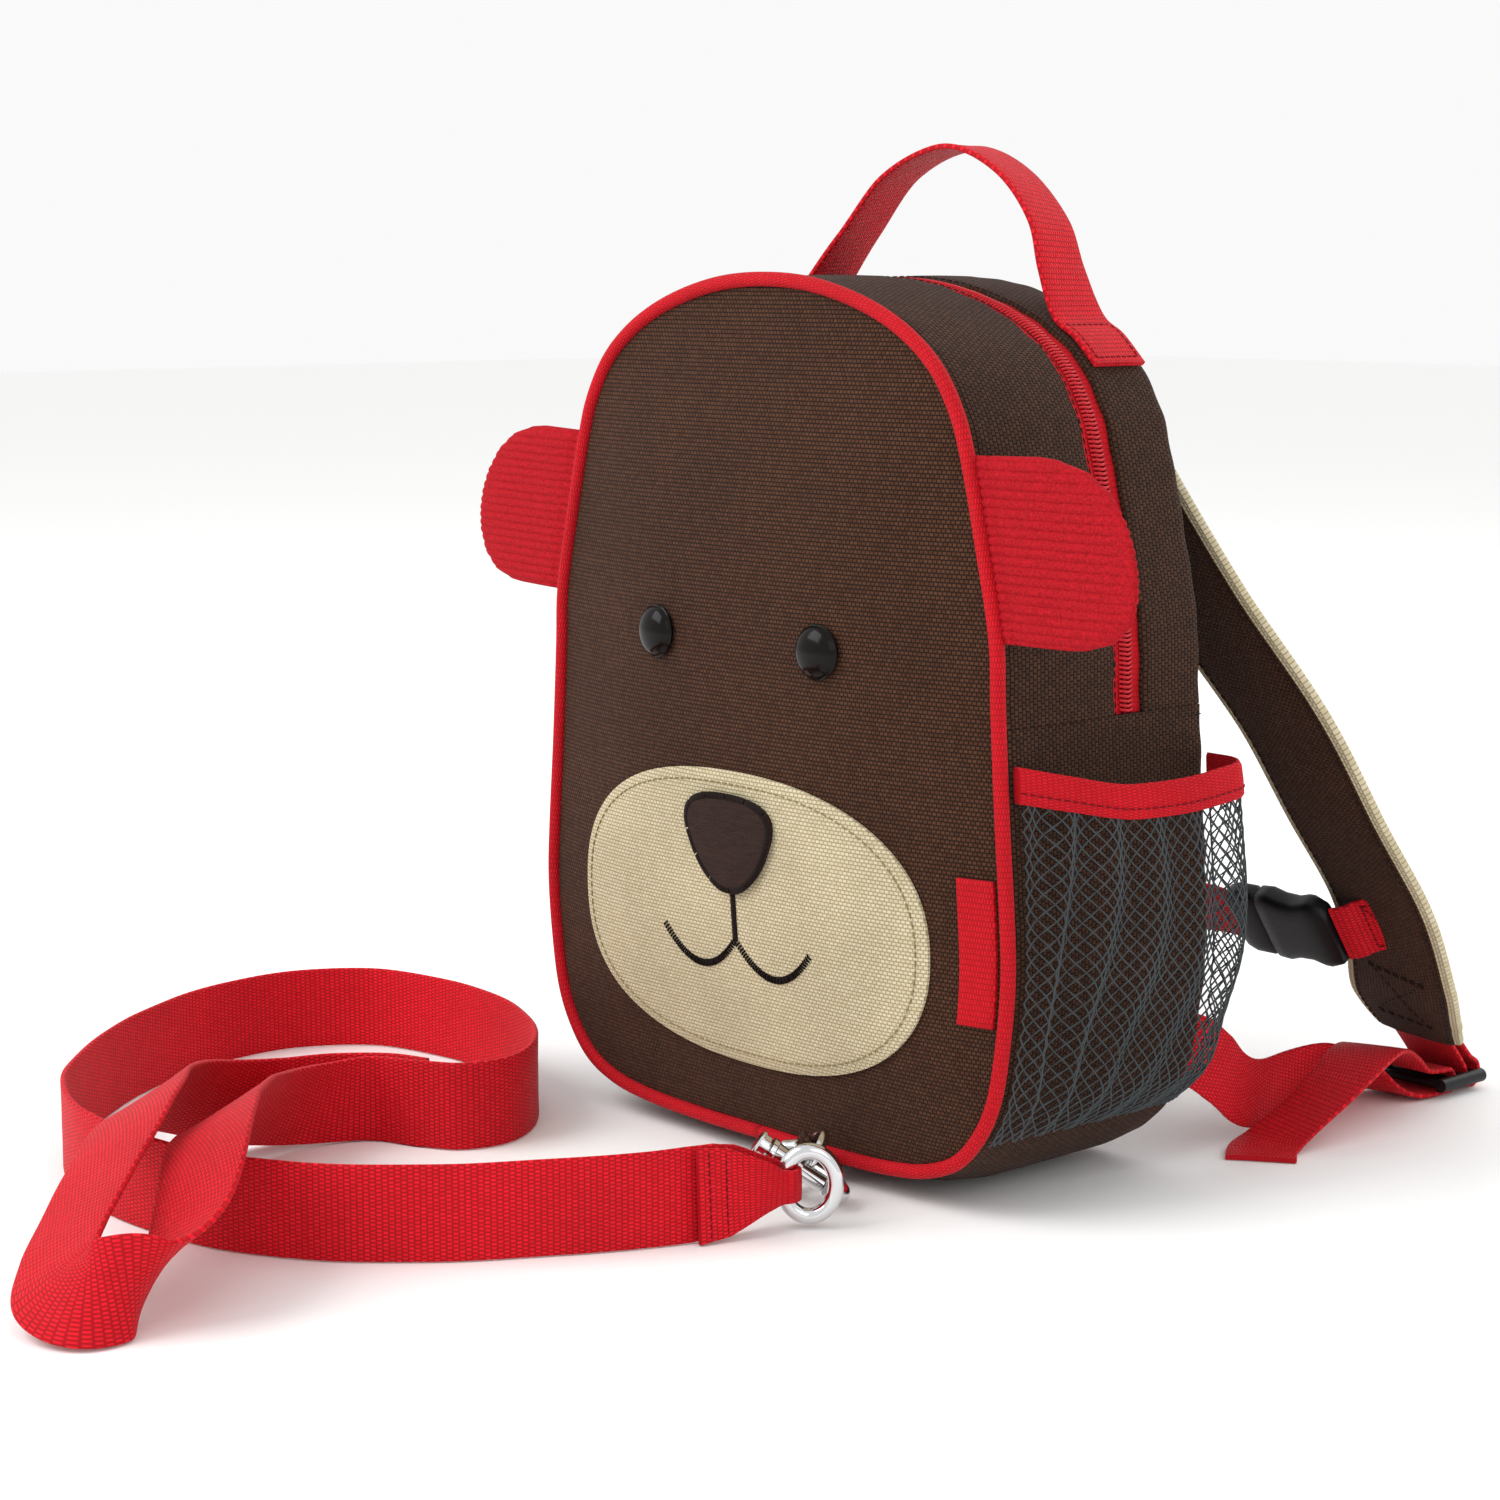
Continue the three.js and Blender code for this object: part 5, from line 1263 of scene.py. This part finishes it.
def flip(rows, side):
    """Rows of webbing as they are on the right, or mirrored to the left."""
    return [(np.array(at) * [side, 1, 1], np.array(across) * [1, side, side], width)
            for at, across, width in rows]


def strap_rows(side):
    last = len(STRAP_ROUTE) - 1
    rows = [(np.array(p, float), np.array([1, 0 if i == last else -0.08, 0]),
             STRAP_WIDTH * (0.78 if i == last else 1)) for i, p in enumerate(STRAP_ROUTE)]
    return flip(rows, side)


def make_strap(label, side):
    rows = strap_rows(side)
    middle, across, face, width = web_lines(rows, 120)
    length = run_length(middle)
    half = STRAP_THICKNESS / 2
    section = whole_section(STRAP_SECTION)
    ripple = 0.06 * np.sin(length / 5.5)
    near = -1 if face[60][1] > 0 else 1
    rings = []
    uv = []
    for a, b in section:
        lift = b * half * (1 + ripple * (abs(a) < 0.5))
        rings.append(middle + across * (a * width / 2)[:, None] + face * lift[:, None])
        uv.append(np.stack([length, np.full(len(length), 50 + a * STRAP_WIDTH / 2)], 1))
    top_count = len(STRAP_SECTION)
    # The face towards the bag is brown; the other face and both edges are canvas
    marks = []
    for k in range(len(section)):
        edge = min(abs(section[k][0]), abs(section[(k + 1) % len(section)][0]))
        marks.append(0 if (k < top_count - 1) == (near > 0) and edge < 0.85 else 1)
    rings, uv = np.stack(rings, 1), np.stack(uv, 1)
    strap = sweep(f"padded_strap_{label}", rings, uv, [BROWN, CANVAS], marks=marks)
    dress(strap, "brown_polyester", f"shoulder_strap_{label}")
    lines = []
    for share in (-0.8, 0.8):
        lines.append((middle + across * (share * width / 2)[:, None] + face * (near * half * 0.9))[2:-2])
    # Low on the brown face: two bars with a cross between them, where the tip webbing is sewn in
    skin = near * (half * (1 + ripple) + 0.08)
    low, high = STRAP_TACK
    passes = [[(low, TACK_REACH), (high, -TACK_REACH)], [(low, -TACK_REACH), (high, TACK_REACH)]]
    for at in STRAP_TACK:
        passes += [[(at + gap, -TACK_REACH), (at + gap, TACK_REACH)] for gap in (0, 0.6, 1.2)]
    lines += [sewn((middle, across, face, width), skin[:, None], corners) for corners in passes]
    dress(stitches(f"strap_stitches_{label}", lines, STRAP_STITCH, THREAD_BROWN), "brown_polyester")


def tip_rows(side):
    """The tip webbing: out of the strap, round the lock's rear bar and back under the strap."""
    end = STRAP_ROUTE[-1]
    rear, slot = lock_bar(3), lock_slot(2)
    points = [
        (end[1] - 4.6, end[2] + 4.2), (end[1] + 0.55, end[2] - 0.5), (163, 15.2), (slot - 3, 9.6),
        (slot - 0.4, LOCK_MIDDLE + 1.5), (slot, LOCK_MIDDLE), (slot + 0.8, 1.9), (rear, WEB_UNDER),
        (rear + 2.6, 2.2), (rear + 3.2, LOCK_MIDDLE), (rear + 2, WEB_OVER), (rear - 1.5, WEB_OVER + 2.4),
        (rear - 5.5, WEB_OVER + 6.4), (164.2, 18.4),
    ]
    rows = [(np.array([LOCK_X, y, z]), np.array([1.0, 0, 0]), HARNESS_WEB) for y, z in points]
    rows[0][0][0] = end[0] + 1
    rows[1][0][0] = end[0]
    return flip(rows, side)


def adjuster_rows(side):
    """The adjuster: x, y and height, then a width direction where it passes under and over the lock."""
    bar, slot = lock_bar(1), lock_slot(1)
    back = HALF_DEPTH + 3.1
    points = [
        (68, back, 35, 0, 0, 1), (77, back, 34.5, 0, 0, 1), (84, 46.5, 33, 0, 0, 1),
        (85, 57, 26, 0, 0, 1), (82, 70, 17, 0, 0, 1), (78, 84, 12.2, 0, 0, 1), (75, 100, 11.6, 0, 0, 1),
        (74.5, 116, 11.4, 0.15, 0, 1), (75.5, 130, 8.5, 0.8, 0, 0.6), (77.5, 141, 3.6, 1, 0, 0.12),
        (79, 149, WEB_UNDER + 0.5, 1, 0, 0), (79, bar - 1, WEB_UNDER + 0.2, 1, 0, 0),
        (79, slot - 1.2, WEB_UNDER + 0.5, 1, 0, 0), (79, slot, LOCK_MIDDLE, 1, 0, 0),
        (79, slot - 1.4, WEB_OVER - 0.5, 1, 0, 0), (79, bar - 2, WEB_OVER, 1, 0, 0),
        (79, 152, WEB_OVER + 1.2, 1, 0, 0), (81, 142, 14), (86, 128, 20), (92, 114, 21.5), (94.5, 100, 17),
        (92.5, 87, 8.5), (90.5, 76, 2.4), (92, 69, 1.3), (97, 62, 1),
    ]
    places = np.array([p[:3] for p in points], float)
    level = unit(np.cross(UP, headings(places)))
    rows = [(at, np.array(p[3:], float) if len(p) > 3 else level[i], HARNESS_WEB)
            for i, (at, p) in enumerate(zip(places, points))]
    return flip(rows, side)


def make_lock(label, side):
    """Ladder lock: rails with rounded cross bars."""
    pieces = []
    half = LOCK_WIDTH / 2 - LOCK_BAR / 2
    length = lock_bar(3) - lock_bar(0)
    for rail in (-1, 1):
        ys = LOCK_FRONT + 0.6 + np.linspace(0, 1, 12) * (length + LOCK_BAR - 1.2)
        points = np.array([[side * LOCK_X + rail * half, y, LOCK_MIDDLE] for y in ys])
        pieces.append(wire("rail", points, LOCK_THICKNESS / 2 - 0.02, 12, ACETAL, start=(1, 0, 0)))
    for i in range(4):
        y = lock_bar(i)
        points = np.array([[side * LOCK_X + t * half, y, LOCK_MIDDLE] for t in np.linspace(-1, 1, 10)])
        pieces.append(wire("bar", points, LOCK_BAR / 2, 10, ACETAL, start=(0, 0, 1)))
    dress(join(f"ladder_lock_body_{label}", pieces), "black_plastic", f"ladder_lock_{label}")


for label, side in SIDES:
    make_strap(label, side)
    tip = webbing(f"strap_tip_{label}", tip_rows(side), WEBBING - 0.2, 140, WEB)
    dress(tip, "red_webbing", f"tip_web_{label}")
    tail = webbing(f"adjuster_{label}", adjuster_rows(side), WEBBING - 0.2, 300, WEB, 0.2)
    dress(tail, "red_webbing", f"adjuster_web_{label}")
    make_lock(label, side)


# Chest strap and its side-release buckle
STRAP_SLOPE = unit([0, -0.57, 0.82])
STRAP_FACE = np.array([0, -STRAP_SLOPE[2], STRAP_SLOPE[1]])
CHEST_POINT = np.array([0, 121.5, 60]) + STRAP_FACE * (STRAP_THICKNESS / 2 + 1)
CHEST_SEWN = 100.0
CHEST_OVERLAP = 13.0
BUCKLE_RIGHT = 81.0
BUCKLE_LEFT = 44.0
BUCKLE_WIDTH = 26.0
BUCKLE_THICKNESS = 8.0
BUCKLE_LIFT = BUCKLE_THICKNESS / 2 + 0.4
BUCKLE_SPLIT = BUCKLE_LEFT + 0.32 * (BUCKLE_RIGHT - BUCKLE_LEFT)


def chest_place(x, lift, along=0.0):
    return np.array([x, 0, 0]) + CHEST_POINT + STRAP_FACE * lift + STRAP_SLOPE * along


def chest_web(name, rows, replaced, sewn_end):
    """Chest webbing; a box with a cross sews down its first end at sewn_end 0, or its last end at 1."""
    rows = [(chest_place(*row), STRAP_SLOPE, HARNESS_WEB) for row in rows]
    dress(webbing(name, rows, WEBBING - 0.2, 120, WEB, 0.2), "red_webbing", replaced)
    web = web_lines(rows, 120)
    margin = 1.8
    low = sewn_end * (run_length(web[0])[-1] - CHEST_OVERLAP) + margin
    high = low + CHEST_OVERLAP - 2 * margin
    line = sewn(web, -WEBBING / 2, box(low, high, 0.8) + [(high, 0.8)])
    dress(stitches(name + "_stitches", [line], CHEST_STITCH, THREAD_RED), "red_webbing")


def buckle_place(x, across, lift):
    return chest_place(x, BUCKLE_LIFT + lift, across)


def make_buckle():
    """The socket, waisted where its prongs are pressed, and the prong part's own body."""
    half, thick = BUCKLE_WIDTH / 2, BUCKLE_THICKNESS / 2
    socket = [
        (BUCKLE_SPLIT + 0.2, half - 1.2, thick - 0.7), (BUCKLE_SPLIT + 1, half - 0.3, thick - 0.1),
        (BUCKLE_SPLIT + 5, half, thick), (BUCKLE_SPLIT + 9, half - 1.6, thick),
        (BUCKLE_SPLIT + 14, half - 1.9, thick), (BUCKLE_SPLIT + 18, half - 0.5, thick),
        (BUCKLE_RIGHT - 5, half - 0.3, thick - 0.2), (BUCKLE_RIGHT - 1, half - 1.8, thick - 1),
        (BUCKLE_RIGHT, half - 3, thick - 1.8),
    ]
    prong = [
        (BUCKLE_LEFT, half - 2.6, thick - 1.8), (BUCKLE_LEFT + 1, half - 1.6, thick - 1),
        (BUCKLE_LEFT + 4, half - 0.6, thick - 0.4), (BUCKLE_SPLIT - 1.2, half - 0.6, thick - 0.4),
        (BUCKLE_SPLIT - 0.2, half - 1.4, thick - 1),
    ]
    dress(moulding("buckle_socket", socket, buckle_place, ACETAL), "black_plastic", "chest_buckle_socket")
    dress(moulding("buckle_prong", prong, buckle_place, ACETAL), "black_plastic", "chest_buckle_prong")


# Points of the chest webbing: x, height over the strap's face, place along the strap. The buckle sits close
# to the right strap, so only a short stretch shows there
chest_web("chest_strap_right", [
    (CHEST_SEWN, -2.6, 0), (93, -2.6, 0), (88.5, -0.6, 0), (85.5, 2.6, 0),
    (BUCKLE_RIGHT + 2 * FIT_GAP, BUCKLE_LIFT, 0),
], "chest_web_right", 0)
chest_web("chest_strap_left", [
    (BUCKLE_LEFT - 3 * FIT_GAP, BUCKLE_LIFT, 0), (36, 3.6, -0.3), (10, 3, -2.4), (-20, 3, -3), (-50, 2.4, -2),
    (-74, 0.8, -0.5), (-86, 0, 0), (-CHEST_SEWN, 0, 0),
], "chest_web_left", 1)
make_buckle()


# Snap hook, its bolt, and the ring and tab that it is clipped to
TO_CAMERA_SIDE = np.array([0.747, -0.665, 0])
ALONG_FRONT = np.array([0.665, 0.747, 0])
BOLT_AXIS = unit(-0.83 * ALONG_FRONT + 0.56 * UP)
HOOK_BACK = -TO_CAMERA_SIDE
HOOK_DOWN = np.cross(BOLT_AXIS, HOOK_BACK)
HOOK_ORIGIN = np.array([46, -67, 11.5])
EYE_CENTRE = np.array([57.2, -74.5, 12.3])
EYE_RING_HALF_WIDTH = 7.0
EYE_RING_HALF_HEIGHT = 8.8
EYE_RING_WIRE = 2.2
HOOK_WIRE = 2.4
BARREL_RADIUS = 3.8
BARREL_START = 1.0
BARREL_END = 11.0
BOLT_RADIUS = 2.2
NOSE_END = -8.0
HOOK_REACH = 11.0
ANCHOR_RADIUS = 8.5
ANCHOR_WIRE = 1.5
TAB_WIDTH = 7.0
TAB_X = 27.0


def hook_place(a, b, c=0.0):
    """A place by its distance along the bolt's axis, to the hook's back and down from it."""
    return HOOK_ORIGIN + BOLT_AXIS * a + HOOK_BACK * b + HOOK_DOWN * c


def loop_points(centre, first, second, wide, high, count):
    angles = 2 * np.pi * np.arange(count)[:, None] / count
    return centre + first * wide * np.cos(angles) + second * high * np.sin(angles)


def turned(name, stations, sides=28):
    """A round piece about the bolt's axis; stations are (place along it, radius)."""
    points = np.array([hook_place(a, 0) for a, r in stations])
    angles = 2 * np.pi * np.arange(sides) / sides
    rings = np.array([
        p + r * (np.cos(angles)[:, None] * HOOK_DOWN + np.sin(angles)[:, None] * HOOK_BACK)
        for p, (a, r) in zip(points, stations)
    ])
    return sweep(name, rings, ring_uv(points, sides, 20.0), [NICKEL])


def make_hook():
    reach = HOOK_REACH
    body = spline([
        hook_place(NOSE_END, 0), hook_place(NOSE_END - 2.4, 0.6), hook_place(NOSE_END - 4.6, 3),
        hook_place(NOSE_END - 5, 6.5), hook_place(NOSE_END - 3, 9.8), hook_place(NOSE_END + 1, reach),
        hook_place(0, reach), hook_place(4, reach - 1), hook_place(6.4, reach - 4),
        hook_place(7, BARREL_RADIUS + 1.2), hook_place(7, BARREL_RADIUS - 0.7),
    ], np.linspace(0, 1, 90))
    swell = HOOK_WIRE * (0.9 + 0.1 * np.sin(np.linspace(0, np.pi, 90)))
    pieces = [wire("hook_body", body, swell, 18, NICKEL, start=HOOK_DOWN)]
    pieces.append(turned("barrel", [
        (BARREL_START, 2.6), (BARREL_START, BARREL_RADIUS - 0.3), (BARREL_START + 0.4, BARREL_RADIUS),
        (BARREL_START + 2.6, BARREL_RADIUS), (BARREL_START + 3, BARREL_RADIUS - 0.5),
        (BARREL_END - 2, BARREL_RADIUS - 0.5), (BARREL_END - 1.6, BARREL_RADIUS),
        (BARREL_END - 0.3, BARREL_RADIUS), (BARREL_END, 2.6),
    ]))
    ring = loop_points(EYE_CENTRE, ALONG_FRONT, UP, EYE_RING_HALF_WIDTH, EYE_RING_HALF_HEIGHT, 72)
    pieces.append(wire("eye", ring, EYE_RING_WIRE * 0.98, 18, NICKEL, True, TO_CAMERA_SIDE))
    # The swivel's neck leaves the ring behind the fold of the leash
    neck = spline([
        EYE_CENTRE - ALONG_FRONT * 5 + UP * 6, hook_place(3, BARREL_RADIUS + 1.8, -4),
        hook_place(6, reach - 3.5, -1),
    ], np.linspace(0, 1, 24))
    slim = HOOK_WIRE * np.interp(np.linspace(0, 1, 24), [0, 0.45, 1], [0.55, 0.9, 0.97])
    pieces.append(wire("neck", neck, slim, 16, NICKEL, start=TO_CAMERA_SIDE))
    dress(join("swivel_hook", pieces), "nickel_plating", "snap_hook")
    bolt = turned("bolt_plunger", [
        (NOSE_END + 0.9, 1.4), (NOSE_END + 1.4, BOLT_RADIUS - 0.05), (BARREL_END + 0.5, BOLT_RADIUS - 0.05),
        (BARREL_END + 0.6, BARREL_RADIUS - 0.4), (BARREL_END + 2.3, BARREL_RADIUS - 0.5),
        (BARREL_END + 2.4, BARREL_RADIUS + 0.1), (BARREL_END + 3.0, BARREL_RADIUS + 0.1),
        (BARREL_END + 3.4, BARREL_RADIUS - 0.8),
    ])
    dress(bolt, "nickel_plating", "snap_bolt", body=BOLT_BODY)


def make_anchor():
    out = HOOK_REACH - HOOK_WIRE - FIT_GAP - ANCHOR_WIRE + ANCHOR_RADIUS
    centre = hook_place(-2, out)
    path = loop_points(centre, HOOK_BACK, HOOK_DOWN, ANCHOR_RADIUS, ANCHOR_RADIUS, 60)
    ring = wire("tether_ring", path, ANCHOR_WIRE, 14, NICKEL, True, BOLT_AXIS)
    dress(ring, "nickel_plating", "anchor_ring")
    hold = centre + HOOK_BACK * ANCHOR_RADIUS
    grip = ANCHOR_WIRE + FIT_GAP + WEBBING / 2
    bow = ANCHOR_RADIUS - math.sqrt(ANCHOR_RADIUS**2 - (TAB_WIDTH / 2) ** 2)

    def held(axis, back):
        return hold + BOLT_AXIS * axis + HOOK_BACK * back, -HOOK_DOWN, TAB_WIDTH

    rows = [
        (np.array([TAB_X, FRONT_SEAM + 1.5, 4]), np.array([-1.0, 0, 0]), TAB_WIDTH),
        (np.array([TAB_X + 1, FRONT_SEAM - 5, 3.6]), np.array([-1, -0.3, 0.5]), TAB_WIDTH),
        held(-grip, 2), held(-grip, -bow), held(0, -grip - bow), held(grip, -bow), held(grip, 4),
    ]
    dress(webbing("tether_tab", rows, WEBBING - 0.3, 90, GUSSET), "brown_polyester", "anchor_tab")


make_hook()
make_anchor()


# Topstitching on the bag
def make_bag_stitches():
    lines = []
    shares = np.linspace(*ARCH, 700)
    for y in (ZIPPER_FRONT + 1.0, ZIPPER_REAR - 1.0):
        lines.append(outline_at(shares, GUSSET_INSET + THREAD_LIFT, y))
    for side in (-1, 1):
        ys = np.linspace(GUSSET_FRONT + 1, HALF_DEPTH - 1, 60)
        share = side * share_at_height(SEAM_HEIGHT - 2.6)
        lines.append(outline_at(share, GUSSET_INSET + THREAD_LIFT, ys))
    dress(stitches("bag_topstitches", lines, TOPSTITCH, THREAD_BROWN), "brown_polyester")


make_bag_stitches()


# Studio, in metres and watts: each lamp's name, place, size and power
FLOOR_REACH = 6.0
SKY_STRENGTH = 0.95
LAMPS = [
    ("key", (-0.55, -1.15, 1.2), 1.1, 16.0), ("side", (1.35, -0.45, 0.9), 1.0, 2.5),
    ("back", (0.3, 1.3, 1.2), 1.2, 7.0),
]


def make_studio():
    scene = bpy.context.scene
    mesh = bpy.data.meshes.new("floor")
    corners = [(-1, -1), (1, -1), (1, 1), (-1, 1)]
    mesh.from_pydata([(x * FLOOR_REACH, y * FLOOR_REACH, 0) for x, y in corners], [], [(0, 1, 2, 3)])
    paper = start_material("matte_white_floor", {"Roughness": 0.85, "Base Color": linear("#fbfbfa")})[0]
    mesh.materials.append(paper)
    floor = bpy.data.objects.new("floor", mesh)
    scene.collection.objects.link(floor)
    world = bpy.data.worlds.new("studio")
    world.use_nodes = True
    sky = world.node_tree.nodes["Background"].inputs
    sky["Color"].default_value = (1, 1, 1, 1)
    sky["Strength"].default_value = SKY_STRENGTH
    scene.world = world
    for name, place, size, power in LAMPS:
        data = bpy.data.lights.new(name, "AREA")
        data.size = size
        data.energy = power
        lamp = bpy.data.objects.new(name, data)
        lamp.location = place
        lamp.rotation_euler = (Vector((0, 0, 0.1)) - Vector(place)).to_track_quat("-Z", "Y").to_euler()
        scene.collection.objects.link(lamp)
    scene.view_settings.view_transform = "Standard"


make_studio()
bpy.context.view_layer.update()
